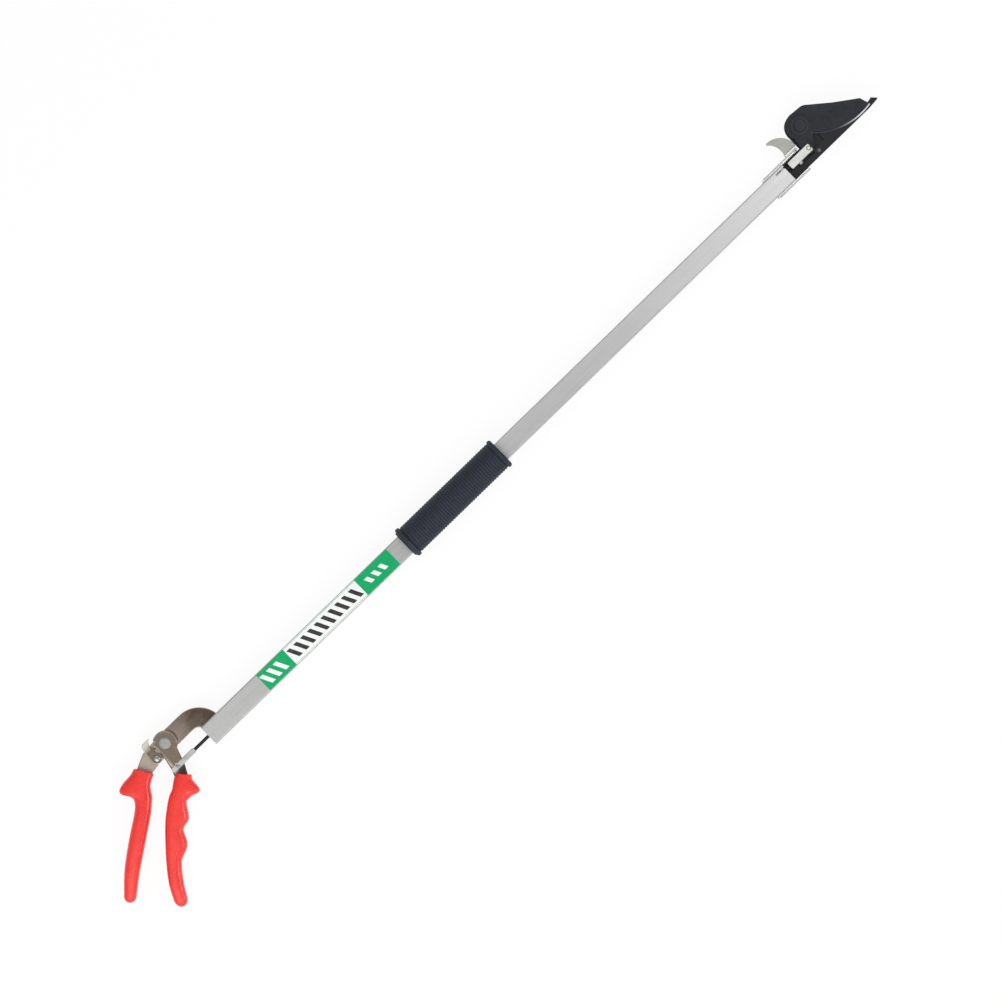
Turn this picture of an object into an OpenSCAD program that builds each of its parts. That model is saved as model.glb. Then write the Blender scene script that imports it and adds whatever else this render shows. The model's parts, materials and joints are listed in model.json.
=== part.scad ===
// Long reach tree pruner: a flat two-piece pole with scissor handles at one end and a bypass
// cutting head at the other, joined by a pull rod that runs inside the pole.
// The pruner lies along X with its head towards +X and the front face of the pole towards +Z.

/* [Pole] */
// Length of the lower, wider tube
lower_length = 366; // [300:1:500]
// Length of the upper, narrower tube
upper_length = 474.3; // [350:1:700]
// How far the upper tube is pushed into the lower one
tube_overlap = 105; // [85:1:120]
// Width of the lower tube, across its front face
lower_width = 20.6; // [19:0.1:24]
// Depth of the lower tube, from front to back
lower_depth = 12.6; // [12:0.1:15]
// Wall of the lower tube
lower_wall = 0.9; // [0.7:0.05:1.1]
// Wall of the upper tube
upper_wall = 1; // [0.8:0.05:1.2]
// Gap between the two tubes on each side
tube_gap = 0.1; // [0.05:0.05:0.2]
// Outer corner radius of both tubes
tube_corner = 1.5; // [1.3:0.1:2]
// Length of the slit in the front wall at the head end
slit_length = 10.4; // [6:0.1:16]
// Width of that slit
slit_width = 1.7; // [1:0.1:3]
// Radius of the rivets that join the two tubes
pole_rivet_r = 2.2; // [1.5:0.1:3]

/* [Grip sleeve] */
// Length of the rubber sleeve
sleeve_length = 122.3; // [110:0.1:160]
// Stretch of the sleeve past the end of the lower tube
sleeve_lip = 5.6; // [5:0.1:14]
// Radius over the ribs
sleeve_r = 14.7; // [13.5:0.1:15.4]
// Radius of the flange at the handle end
guard_r = 16.1; // [15.8:0.1:20]
// Radius of the flange at the head end
flange_r = 15.7; // [15.5:0.1:18]
// Thickness of the flange at the handle end
guard_t = 5.8; // [4:0.1:8]
// Thickness of the flange at the head end
flange_t = 4.2; // [3:0.1:7]
// Depth of the grooves between the ribs
rib_h = 0.45; // [0.3:0.05:1]
// Spacing of the ribs
rib_pitch = 2.7; // [2:0.1:5]

/* [Label] */
// Length of the label
label_length = 164.8; // [100:0.1:180]
// Distance from the label to the grip sleeve
label_to_sleeve = 15.4; // [6:0.1:24]
// Width of the label
label_width = 19; // [12:0.1:19]
// Thickness of the label
label_t = 0.12; // [0.1:0.02:0.3]

/* [Fixed handle] */
// Handle pivot, from the pole's mouth along the pole and from its centre line
handle_pivot = [-33.2, 22.9];
// Thickness of the arm
arm_t = 3; // [2.4:0.1:3.4]
// Width of the arm's straight stretch
arm_width = 18.2; // [16:0.1:20]
// Radius of the arm's bend at its centre line
arm_bend_r = 16.8; // [14:0.1:20]
// Distance from the pole's mouth to the centre of the bend
arm_bend_x = -6.8; // [-8:0.1:-4]
// Length of the tang inside the pole
arm_tang_length = 64; // [55:1:66]
// Width of the tang inside the pole
arm_tang_width = 16; // [12:0.1:17]
// Radius of the arm rivets
arm_rivet_r = 2; // [1.5:0.1:2.5]
// Spacing of the arm rivets
arm_rivet_spacing = 25; // [18:1:32]

/* [Lever] */
// Thickness of the lever plate
lever_t = 4; // [3:0.1:4.4]
// Radius of the lever's boss at the pivot
lever_boss_r = 11.4; // [10.9:0.1:12]
// Radius of the lever's hub beside the latch
lever_hub_r = 8; // [7:0.1:8.6]
// Angle through which the lever opens
lever_swing = 30; // [20:1:30]
// Radius of the pivot bolt's plain shank
pivot_r = 4; // [3:0.1:5]
// Half the pivot bolt's width across the corners of its head
pivot_head_r = 5; // [4.6:0.1:6]
// Thickness of the washer between the arm and the lever
pivot_washer_t = 0.35; // [0.2:0.05:0.6]

/* [Latch] */
// Latch pivot, measured like the handle pivot
latch_pivot = [-48.6, 18];
// Thickness of the latch
latch_t = 2.5; // [1.5:0.1:3]
// Radius of the tooth on the lever
tooth_r = 10.8; // [10:0.1:10.9]
// Angle of the tooth's far side about the handle pivot
tooth_angle = 164; // [160:1:166]
// Angle that the tooth takes up
tooth_span = 14; // [8:1:16]
// Radius that the latch's nose reaches when it is locked
nose_r = 9.2; // [8.8:0.1:9.6]
// Angle by which the latch swings off the tooth
latch_release = 14; // [13:0.5:18]
// Radius of the latch rivet
latch_rivet_r = 2; // [1.5:0.1:2.5]

/* [Pull rod] */
// Radius of the rod
rod_r = 1.6; // [1.2:0.1:2]
// Pin of the clevis at the lever, measured like the handle pivot
clevis_pin_at = [-39.6, -0.2];
// Radius of the clevis and fork pins
link_pin_r = 1.75; // [1.4:0.05:2]
// Width of the clevis
clevis_width = 5; // [4.6:0.1:6]
// Length of the clevis before its pin
clevis_nose = 6.8; // [4:0.1:8]
// Length of the clevis past its pin
clevis_reach = 22; // [17:0.1:24]
// Thickness of each prong of the clevis
clevis_prong_t = 2; // [1.5:0.1:2.5]
// Length of each rod guide
guide_length = 14; // [8:1:20]
// Length of the return spring with the blades shut
spring_length = 40; // [30:1:60]
// Number of turns of the return spring
spring_turns = 14; // [8:1:18]
// Radius of the spring at the middle of its wire
spring_r = 3.4; // [3:0.1:3.8]
// Diameter of the spring's wire
spring_wire = 0.8; // [0.6:0.1:1]
// Length of the spring collar
collar_length = 6; // [4:0.5:10]

/* [Head] */
// Blade pivot, from the end of the pole along it and from its centre line
blade_pivot = [36.8, 23.65];
// Thickness of the fixed blade
fixed_blade_t = 3.5; // [3:0.1:4]
// Thickness of the cutting blade
blade_t = 3; // [2.5:0.1:3.2]
// Gap between the two blades
blade_gap = 0.3; // [0.1:0.05:0.4]
// Radius of the cutting edge
edge_r = 64.8; // [63:0.1:67]
// Centre of the cutting edge, measured like the blade pivot
edge_centre = [85.3, 56.8];
// Width of the ground bevel
edge_bevel = 2.2; // [1.5:0.1:4]
// Distance by which the cutting edge passes the fixed blade
edge_overlap = 3; // [1.5:0.1:3.5]
// Length of the head past the end of the pole
head_length = 105.4; // [102:0.1:110]
// Depth of the straight lower edge below the centre line of the pole
jaw_drop = 9.1; // [8.8:0.1:10]
// Radius of the cutting blade's boss
blade_boss_r = 13.2; // [12:0.1:13.5]
// Radius of the blade bolt's plain shank
blade_bolt_r = 4; // [3:0.1:5]
// Length of the fixed blade's tang inside the pole
blade_tang_length = 34; // [28:1:50]

/* [Rod fork] */
// Pin of the fork at the blade, measured like the blade pivot
fork_pin_at = [28.4, 3.3];
// Width of the fork
fork_width = 7.8; // [7:0.1:8.2]
// Length of the fork before its pin
fork_reach = 23.9; // [22:0.1:25]
// Length of the fork past its pin
fork_nose = 2.6; // [2.5:0.1:3.2]
// Thickness of each prong of the fork
fork_prong_t = 1.8; // [1.5:0.1:2]
// Distance from the fork pin back to the clamp screw
screw_back = 13.9; // [13.6:0.1:16]
// Radius of the screw's head
screw_head_r = 2.7; // [2:0.1:3]
// Height of the screw's head
screw_head_h = 2.2; // [1.5:0.1:2.4]

/* [Bracket and hook] */
// Thickness of the bracket's sheet
bracket_t = 1.5; // [1.2:0.1:1.8]
// Width over the bracket's two flanges
bracket_width = 23.8; // [23:0.1:26]
// Outer radius of the bracket's two bends
bracket_bend = 2.2; // [1.9:0.1:3]
// Stretch of the bracket along the pole
bracket_back = 22.8; // [18:0.1:30]
// Stretch of the hook's flange past the end of the pole
bracket_front = 20.6; // [19:0.1:21]
// Height of the flanges above the pole's middle plane
bracket_rise = 4; // [2:0.1:6]
// Radius of the bracket's rivets
bracket_rivet_r = 1.9; // [1.4:0.1:2.2]
// Thickness of the branch hook
hook_t = 3; // [2:0.1:4]
// Thickness of the hook's foot
hook_foot_t = 1.5; // [1:0.1:2]

/* [Hidden] */
$fn = 64;

// Clearances
run_gap = 0.05;
rivet_gap = 0.03;
plate_gap = 0.3;
bore_gap = 0.05;
pocket_gap = 0.15;
film_gap = 0.02;
web_tuck = 0.03;
cut = 1;

// Tubes, with the mouth of the lower tube at x = 0 and the centre line of the pole on y = z = 0
lower_inner_width = lower_width - 2 * lower_wall;
lower_inner_depth = lower_depth - 2 * lower_wall;
upper_width = lower_inner_width - 2 * tube_gap;
upper_depth = lower_inner_depth - 2 * tube_gap;
upper_inner_width = upper_width - 2 * upper_wall;
upper_inner_depth = upper_depth - 2 * upper_wall;
upper_start = lower_length - tube_overlap;
head_x = upper_start + upper_length;
sleeve_start = lower_length + sleeve_lip - sleeve_length;
label_start = sleeve_start - label_to_sleeve - label_length;

// Levels of the handle's plates
arm_z = -lower_inner_depth / 2;
arm_top = arm_z + arm_t;
lever_z = arm_top + pivot_washer_t + run_gap;
lever_top = lever_z + lever_t;
lever_mid = lever_z + lever_t / 2;
latch_z = arm_top + plate_gap;
latch_top = latch_z + latch_t;
bolt_head_z = lever_top + run_gap;
pivot_nut_r = 6.4;
pivot_nut_h = 4.5;
blade_nut_r = 6.2;
blade_nut_h = 4;
thread_end = 1;

// Levels of the head's plates
fixed_blade_z = -upper_inner_depth / 2;
fixed_blade_top = fixed_blade_z + fixed_blade_t;
blade_z = fixed_blade_top + blade_gap;
blade_top = blade_z + blade_t;
bracket_top = -upper_depth / 2;
bracket_z = bracket_top - bracket_t;
fork_back_top = blade_z - plate_gap;
fork_front_z = blade_top + plate_gap;
fork_z = fork_back_top - fork_prong_t;
fork_top = fork_front_z + fork_prong_t;
fork_pocket_z = fork_z - plate_gap;
rod_z = lever_mid;

// The rod's line runs through the two pins
fork_pin_xy = [head_x + fork_pin_at.x, fork_pin_at.y];
rod_run = norm(fork_pin_xy - clevis_pin_at);
rod_tilt = atan2(fork_pin_xy.y - clevis_pin_at.y, fork_pin_xy.x - clevis_pin_at.x);

// Travel of the rod and swing of the blade when the lever opens fully
crank = clevis_pin_at - handle_pivot;
crank_angle = atan2(crank.y, crank.x);
rod_travel = norm(crank) * (cos(crank_angle + lever_swing) - cos(crank_angle));
tail = fork_pin_at - blade_pivot;
tail_angle = atan2(tail.y, tail.x);
tail_open_angle = atan2(tail.y + rod_travel * sin(rod_tilt), tail.x + rod_travel);
blade_swing = tail_open_angle - tail_angle;
crank_slot_in = norm(crank) - abs(crank.y) + plate_gap;
tail_slot_in = norm(tail) - abs(tail.y) + plate_gap;

// Arm
arm_bend_y = handle_pivot.y - arm_bend_r;
arm_slot_end = arm_bend_x + arm_bend_r + arm_width / 2 + 1.3;
arm_tang_x = arm_bend_x + arm_bend_r - arm_width / 2;
arm_rivet_x = arm_tang_x + arm_tang_length - arm_rivet_spacing - 10;

// Raked side of the lever's tooth, about the handle pivot
function polar(r, a) = r * [cos(a), sin(a)];
tooth_root = polar(lever_hub_r - 1, tooth_angle + 2);
tooth_tip = polar(tooth_r, tooth_angle - 5.5);

// Rod guides and the spring between the lower guide and the collar
lower_guide_x = arm_tang_x + arm_tang_length + 13;
middle_guide_x = upper_start + 30;
upper_guide_x = head_x - blade_tang_length - guide_length - 6;
spring_x = lower_guide_x + guide_length;
collar_x = spring_x + spring_length;

// Tangs of the two handles as [x, y, half width], from the pivot into the grips
fixed_tang = [
    [handle_pivot.x, handle_pivot.y, arm_width / 2 - 0.05], [-53, 21.5, 8.6], [-66, 17.5, 6.8],
    [-78, 7.5, 5.2], [-92, -8.5, 4.8], [-113.8, -24, 4.6], [-132.6, -38.4, 4]
];
lever_tang = [
    [handle_pivot.x, handle_pivot.y, lever_hub_r], [clevis_pin_at.x, clevis_pin_at.y, 6.6], [-44, -10, 6],
    [-55, -19.5, 5], [-72, -31, 4.5], [-92, -50, 4], [-103, -60, 3.5]
];

// Grips as stations [x, y, half width on the left, half width on the right, half depth],
// followed from the pivot to the free end
fixed_grip_stations = [
    [-66.1, 17.4, 9.3, 9.3, 7.4], [-68.9, 15.6, 8.9, 11, 7.8], [-75.1, 10, 7.5, 17.9, 8.4],
    [-79.5, 5.6, 8.3, 20.7, 8.6], [-81.8, 3.1, 8.9, 14.9, 8.6], [-84.4, 0.4, 9.1, 7.5, 8.6],
    [-92.6, -8.7, 7.5, 7.5, 8.8], [-114.1, -23.8, 7.5, 7.7, 8.8], [-136, -39.7, 7, 7, 8],
    [-153.4, -55.1, 5.65, 5.65, 6.5]
];
lever_grip_stations = [
    [-41.5, -9.8, 7.5, 7.2, 7], [-44.2, -12, 8.7, 8.4, 7.6], [-50.3, -16.9, 16.2, 8.8, 8.2],
    [-54.3, -19.4, 10.2, 8.5, 8.3], [-61.2, -22.9, 7.9, 8.9, 8.4], [-73, -31.9, 12, 9.1, 8.6],
    [-81.5, -39.1, 8.2, 8.6, 8.6], [-91.3, -49.2, 11.7, 8.4, 8.4], [-102.5, -59.3, 7.7, 6.7, 8],
    [-115.3, -74.8, 7.7, 5.8, 7.4], [-121.6, -88, 6.3, 6.3, 6.4]
];
fixed_grip_cap = 6;
lever_grip_cap = 8.2;
fixed_grip_z = arm_z + arm_t + 0.9;
lever_grip_z = lever_mid;
grip_steps = 5;
grip_sides = 28;
grip_cap_steps = 3;
grip_rim = 1.2;
grip_rim_share = 0.11;
section_power = 0.72;

// Outline of the cutting blade as [x, y, radius], then the tip of the jaw and the hook's circles
blade_back = [
    [blade_pivot.x, blade_pivot.y, blade_boss_r], [47.3, 25.9, 10.1], [69.3, 13.4, 6], [92.9, 3.1, 0.8]
];
blade_end_angle = 18;
blade_tail = [[blade_pivot.x, blade_pivot.y, 11], [fork_pin_at.x, fork_pin_at.y, 5.4]];
jaw_tip = [
    [head_length - 13, -jaw_drop], [head_length - 0.8, 1 - jaw_drop], [head_length, 1.7 - jaw_drop],
    [head_length, 2.3 - jaw_drop], [head_length - 4.2, 6.5 - jaw_drop]
];
hook_outer = [3.9, 15, 18.05];
hook_inner = [-7.2, 19, 16.1];
hook_tip = [4, 31.8, 1.25];

// Place of the whole pruner: centred on its own box, with the sleeve's wider flange on the ground
fixed_grip_points = loft_points(fixed_grip_stations, fixed_grip_cap, fixed_grip_z);
lever_grip_points = loft_points(lever_grip_stations, lever_grip_cap, lever_grip_z);
mid_x = (min([for (p = fixed_grip_points) p.x]) + head_x + head_length) / 2;
mid_y = (min([for (p = lever_grip_points) p.y]) + blade_pivot.y + blade_boss_r) / 2;

module stand() {
    translate([-mid_x, -mid_y, max(guard_r, flange_r)]) children();
}

module at_head() {
    translate([head_x, 0, 0]) children();
}

// A plate of the given level and thickness over a flat outline
module plate(z, t) {
    translate([0, 0, z]) linear_extrude(t) children();
}

// A flat outline across the pole, extruded along it from x
module across_pole(x, length) {
    translate([x, 0, 0]) rotate([90, 0, 90]) linear_extrude(length) children();
}

// The rod's own frame: X along the rod from the clevis pin
module on_rod(x = 0) {
    translate([clevis_pin_at.x, clevis_pin_at.y, rod_z])
        rotate([0, 0, rod_tilt]) translate([x, 0, 0]) children();
}

module rod_cylinder(x, length, r) {
    on_rod(x) rotate([0, 90, 0]) cylinder(h = length, r = r);
}

module rounded_rect(w, d, r) {
    square([w - 2 * r, d], center = true);
    square([w, d - 2 * r], center = true);
    for (i = [-1, 1], j = [-1, 1]) translate([i * (w / 2 - r), j * (d / 2 - r)]) circle(r);
}

module tube_section(w, d, wall) {
    difference() {
        rounded_rect(w, d, tube_corner);
        rounded_rect(w - 2 * wall, d - 2 * wall, tube_corner - wall);
    }
}

// Web between two [x, y, radius] circles, tucked a hair inside them
module web(a, b) {
    heading = atan2(b.y - a.y, b.x - a.x);
    lean = acos((a.z - b.z) / norm([b.x - a.x, b.y - a.y]));
    polygon([for (end = [[a, 1], [b, 1], [b, -1], [a, -1]])
        [end[0].x, end[0].y] + polar(end[0].z - web_tuck, heading + end[1] * lean)]);
}

// Round-ended strap through a path of [x, y, radius] circles, of the given level and thickness
module strap(path, z, t, grow = 0) {
    for (p = path) translate([p.x, p.y, z]) cylinder(h = t, r = p.z + grow);
    for (i = [0 : len(path) - 2]) plate(z, t) web(path[i] + [0, 0, grow], path[i + 1] + [0, 0, grow]);
}

// Sector of a circle about the handle pivot
module pivot_sector(r, from, to) {
    reach = 2 * r;
    translate(handle_pivot) intersection() {
        circle(r);
        polygon([[0, 0], for (k = [0 : 4]) let (a = from + (to - from) * k / 4) reach * [cos(a), sin(a)]]);
    }
}

// Slot along a crank, from its pin to the least radius that the pin reaches
module radial_slot(centre, arm, r, inward) {
    direction = arm / norm(arm);
    out = centre + arm + plate_gap * direction;
    in = centre + arm - inward * direction;
    strap([[out.x, out.y, r], [in.x, in.y, r]], -lower_depth, 2 * lower_depth);
}

module hex_bolt(shank_r, shank_l, head_r, head_h, washer_r, washer_t) {
    translate([0, 0, -shank_l]) cylinder(h = shank_l + washer_t, r = shank_r);
    cylinder(h = washer_t, r = washer_r);
    intersection() {
        cylinder(h = head_h, r = head_r, $fn = 6);
        cylinder(h = head_h, r1 = head_r + head_h, r2 = head_r * 0.86);
    }
}

module hex_nut(r, h, bore_r) {
    difference() {
        intersection() {
            cylinder(h = h, r = r, $fn = 6);
            cylinder(h = h, r1 = r * 0.86, r2 = r + h);
        }
        translate([0, 0, -cut]) cylinder(h = h + 2 * cut, r = bore_r);
    }
}

// A rivet through from z to top, with its domed head below z
module rivet(r, z, top, head_h) {
    translate([0, 0, z]) cylinder(h = top - z, r = r);
    translate([0, 0, z - head_h]) cylinder(h = head_h, r1 = r * 1.1, r2 = r * 1.65);
}

// Smooth curve through the stations
function between(a, b, c, d, t) =
    0.5 * (2 * b + (c - a) * t + (2 * a - 5 * b + 4 * c - d) * t * t + (3 * b - a - 3 * c + d) * t * t * t);
function along(stations, last) = [
    for (i = [0 : last - 1]) for (k = [0 : grip_steps - 1])
        between(stations[max(i - 1, 0)], stations[i], stations[i + 1], stations[min(i + 2, last)],
            k / grip_steps),
    stations[last]
];
function heading_at(s, i) =
    let (d = s[min(i + 1, len(s) - 1)] - s[max(i - 1, 0)]) [d.x, d.y] / norm([d.x, d.y]);
function power(v) = sign(v) * pow(abs(v), section_power);

// One section of a grip, moved along its heading by shift and shrunk by share
function section(s, dir, z, shift, share) = [
    for (k = [0 : grip_sides - 1])
        let (
            a = 360 * k / grip_sides,
            side = share * power(cos(a)) * (cos(a) > 0 ? s[2] : s[3]),
            rise = share * power(sin(a)) * s[4]
        )
            [s.x + dir.x * shift - dir.y * side, s.y + dir.y * shift + dir.x * side, z + rise]
];
function loft_points(stations, cap, z) = let (s = along(stations, len(stations) - 1), last = len(s) - 1) [
    for (k = [grip_cap_steps : -1 : 1])
        let (a = 30 * k)
            each section(s[0], heading_at(s, 0), z, -grip_rim * sin(a), 1 - grip_rim_share * (1 - cos(a))),
    for (i = [0 : last]) each section(s[i], heading_at(s, i), z, 0, 1),
    for (k = [1 : grip_cap_steps])
        let (a = 25 * k)
            each section(s[last], heading_at(s, last), z, cap * sin(a) / sin(25 * grip_cap_steps), cos(a))
];
function loft_faces(count) = let (rings = count / grip_sides) [
    [for (k = [0 : grip_sides - 1]) k],
    for (j = [0 : rings - 2], k = [0 : grip_sides - 1])
        let (n = (k + 1) % grip_sides, a = j * grip_sides, b = a + grip_sides)
            each [[a + k, b + k, b + n], [a + k, b + n, a + n]],
    [for (k = [grip_sides - 1 : -1 : 0]) count - grip_sides + k]
];

module loft(points) {
    polyhedron(points, loft_faces(len(points)));
}

// Pole

module lower_pole() {
    color("#b7b7b6") stand() difference() {
        across_pole(0, lower_length) tube_section(lower_width, lower_depth, lower_wall);
        translate([-cut, arm_tang_width / 2, arm_z])
            cube([arm_slot_end + cut, lower_width, arm_t + plate_gap]);
        arm_rivet_places() mirror([0, 0, 1]) cylinder(h = lower_depth, r = arm_rivet_r + rivet_gap);
        pole_rivet_places() cylinder(h = lower_depth, r = pole_rivet_r + rivet_gap);
    }
}

module upper_pole() {
    color("#d2d2d1") stand() difference() {
        across_pole(upper_start, upper_length) tube_section(upper_width, upper_depth, upper_wall);
        translate([head_x - slit_length, fork_pin_at.y + 2, 0])
            cube([slit_length + cut, slit_width, upper_depth]);
        pole_rivet_places() cylinder(h = lower_depth, r = pole_rivet_r + rivet_gap);
        at_head() bracket_rivet_places() mirror([0, 0, 1])
            cylinder(h = lower_depth, r = bracket_rivet_r + rivet_gap);
    }
}

module pole_rivet_places() {
    for (x = [upper_start + 15, lower_length - 40]) translate([x, -upper_inner_width / 4, 0]) children();
}

module pole_rivets() {
    bulb = 0.8;
    seat = upper_inner_depth / 2;
    color("#a8a9ab") stand() pole_rivet_places() {
        translate([0, 0, seat - bulb]) cylinder(h = bulb, r = pole_rivet_r * 1.3);
        translate([0, 0, seat]) cylinder(h = lower_depth / 2 - seat, r = pole_rivet_r);
    }
}

module grip_sleeve() {
    groove_r = sleeve_r - rib_h;
    round = 1.2;
    first_rib = guard_t + rib_pitch / 2;
    rib_count = floor((sleeve_length - guard_t - flange_t - rib_pitch) / rib_pitch);
    profile = [
        [0, 0], [guard_r - 3 * round, 0], [guard_r - round, round], [guard_r, 2 * round],
        [guard_r, guard_t - round], [guard_r - round, guard_t], [groove_r, guard_t + 0.2],
        for (i = [0 : rib_count - 1]) let (x = first_rib + i * rib_pitch) each [
            [groove_r, x], [sleeve_r, x + 0.3 * rib_pitch],
            [sleeve_r, x + 0.6 * rib_pitch], [groove_r, x + 0.9 * rib_pitch]
        ],
        [groove_r, sleeve_length - flange_t - 0.2], [flange_r - round, sleeve_length - flange_t],
        [flange_r, sleeve_length - flange_t + round], [flange_r, sleeve_length - round],
        [flange_r - round, sleeve_length], [0, sleeve_length]
    ];
    color("#262a34") stand() difference() {
        translate([sleeve_start, 0, 0]) rotate([0, 90, 0]) rotate_extrude() polygon(profile);
        across_pole(sleeve_start - cut, lower_length + bore_gap - sleeve_start + cut)
            rounded_rect(lower_width + 2 * bore_gap, lower_depth + 2 * bore_gap, tube_corner + bore_gap);
        across_pole(lower_length - cut, sleeve_lip + 2 * cut)
            rounded_rect(upper_width + 2 * bore_gap, upper_depth + 2 * bore_gap, tube_corner + bore_gap);
    }
}

// Film over the front face, wrapped a little way round the tube's corners
module label() {
    inner = film_gap;
    outer = film_gap + label_t;
    color("#14a552") stand() intersection() {
        across_pole(label_start, label_length) difference() {
            rounded_rect(lower_width + 2 * outer, lower_depth + 2 * outer, tube_corner + outer);
            rounded_rect(lower_width + 2 * inner, lower_depth + 2 * inner, tube_corner + inner);
        }
        translate([label_start - cut, -label_width / 2, 0])
            cube([label_length + 2 * cut, label_width, lower_depth]);
    }
}

// Rod guides

module rod_guide(x, w, d) {
    color("#3a3c40") stand() difference() {
        across_pole(x, guide_length) rounded_rect(w - 2 * tube_gap, d - 2 * tube_gap, tube_corner);
        rod_bore();
    }
}

module rod_bore() {
    rod_cylinder(-cut, rod_run + 2 * cut, rod_r + run_gap);
}

module lower_guide() {
    rod_guide(lower_guide_x, lower_inner_width, lower_inner_depth);
}

module middle_guide() {
    rod_guide(middle_guide_x, upper_inner_width, upper_inner_depth);
}

module upper_guide() {
    rod_guide(upper_guide_x, upper_inner_width, upper_inner_depth);
}

// Fixed handle

module arm_bend() {
    inner_r = arm_bend_r - arm_width / 2;
    outer_r = arm_bend_r + arm_width / 2;
    translate([arm_bend_x, arm_bend_y]) intersection() {
        difference() {
            circle(outer_r);
            circle(inner_r);
        }
        square(outer_r);
    }
}

module fixed_arm() {
    straight_y = handle_pivot.y - arm_width / 2;
    tang_y = -arm_tang_width / 2;
    color("#7d6e5f") stand() difference() {
        union() {
            strap(fixed_tang, arm_z, arm_t);
            translate([handle_pivot.x, straight_y, arm_z])
                cube([arm_bend_x - handle_pivot.x, arm_width, arm_t]);
            plate(arm_z, arm_t) arm_bend();
            translate([arm_tang_x, tang_y, arm_z]) cube([arm_width, arm_bend_y - tang_y, arm_t]);
            translate([arm_tang_x, tang_y, arm_z]) cube([arm_tang_length, arm_tang_width, arm_t]);
        }
        arm_rivet_places() cylinder(h = lower_depth, r = arm_rivet_r + rivet_gap, center = true);
        translate(handle_pivot) cylinder(h = lower_depth, r = pivot_r + rivet_gap, center = true);
        translate(latch_pivot) cylinder(h = lower_depth, r = latch_rivet_r + rivet_gap, center = true);
    }
}

module arm_rivet_places() {
    for (i = [0, 1]) translate([arm_rivet_x + i * arm_rivet_spacing, 0, 0]) children();
}

module arm_rivets() {
    color("#a8a9ab") stand() arm_rivet_places() rivet(arm_rivet_r, -lower_depth / 2, arm_top, 1.4);
}

module fixed_grip() {
    color("#f03e38") stand() difference() {
        loft(fixed_grip_points);
        strap(fixed_tang, arm_z - pocket_gap, arm_t + 2 * pocket_gap, pocket_gap);
    }
}

module pivot_bolt() {
    color("#a3aaad") stand() translate([handle_pivot.x, handle_pivot.y, bolt_head_z])
        hex_bolt(pivot_r, bolt_head_z - arm_z + pivot_nut_h + thread_end,
            pivot_head_r, 3.8, pivot_head_r + 0.4, 1);
}

module pivot_nut() {
    color("#a3aaad") stand() translate([handle_pivot.x, handle_pivot.y, arm_z - pivot_nut_h])
        hex_nut(pivot_nut_r, pivot_nut_h, pivot_r + rivet_gap);
}

module pivot_washer() {
    color("#a3aaad") stand() translate([handle_pivot.x, handle_pivot.y, arm_top]) difference() {
        cylinder(h = pivot_washer_t, r = lever_hub_r - 0.5);
        translate([0, 0, -cut]) cylinder(h = pivot_washer_t + 2 * cut, r = pivot_r + rivet_gap);
    }
}

// Lever

module lever_plate() {
    boss_end = 126;
    color("#86786a") stand() difference() {
        union() {
            strap(lever_tang, lever_z, lever_t);
            plate(lever_z, lever_t) pivot_sector(lever_boss_r, -62, boss_end);
            plate(lever_z, lever_t) translate(handle_pivot) polygon([
                polar(lever_hub_r - 2, tooth_angle - tooth_span),
                polar(tooth_r, tooth_angle - tooth_span), tooth_tip, tooth_root
            ]);
        }
        radial_slot(handle_pivot, crank, link_pin_r + plate_gap / 2, crank_slot_in);
        translate(handle_pivot) cylinder(h = lower_depth, r = pivot_r + run_gap, center = true);
    }
}

module lever_grip() {
    color("#f03e38") stand() difference() {
        loft(lever_grip_points);
        strap(lever_tang, lever_z - pocket_gap, lever_t + 2 * pocket_gap, pocket_gap);
    }
}

// Latch, drawn swung off the tooth by latch_release

module off_tooth() {
    translate(latch_pivot) rotate(latch_release) translate(-latch_pivot) children();
}

// The nose's catching side runs beside the tooth's raked side, so that it swings clear of it
module latch_nose() {
    rake = (tooth_tip - tooth_root) / norm(tooth_tip - tooth_root);
    beside = tooth_root + plate_gap * [-rake.y, rake.x];
    far_angle = tooth_angle + 12;
    translate(handle_pivot) polygon([
        beside + 2.3 * rake, beside + 6 * rake, polar(tooth_r + 2.6, far_angle), polar(nose_r, far_angle)
    ]);
}

module lock_latch() {
    path = [[latch_pivot.x, latch_pivot.y, 5.2], [-48.9, 26.5, 4.4], [-48.3, 32.3, 4.1], [-42.6, 35.2, 1.5]];
    color("#8c8069") stand() difference() {
        union() {
            difference() {
                strap(path, latch_z, latch_t);
                off_tooth() translate(handle_pivot)
                    cylinder(h = lower_depth, r = lever_boss_r + plate_gap + 0.1, center = true);
            }
            plate(latch_z, latch_t) off_tooth() latch_nose();
        }
        translate(latch_pivot) cylinder(h = lower_depth, r = latch_rivet_r + run_gap, center = true);
    }
}

module latch_rivet() {
    head_r = latch_rivet_r * 1.6;
    color("#b9b7b4") stand() translate(latch_pivot) {
        rivet(latch_rivet_r, arm_z, latch_top + run_gap, 1.2);
        translate([0, 0, latch_top + run_gap]) cylinder(h = 1.2, r1 = head_r, r2 = head_r * 0.7);
    }
}

// Pull rod

module pull_rod() {
    color("#1b1b1c") stand()
        rod_cylinder(clevis_root() + cut, rod_run - screw_back + 2 - clevis_root(), rod_r);
}

// Distance from the clevis pin to the closed end of the clevis
function clevis_root() = clevis_reach - 8;

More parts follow.
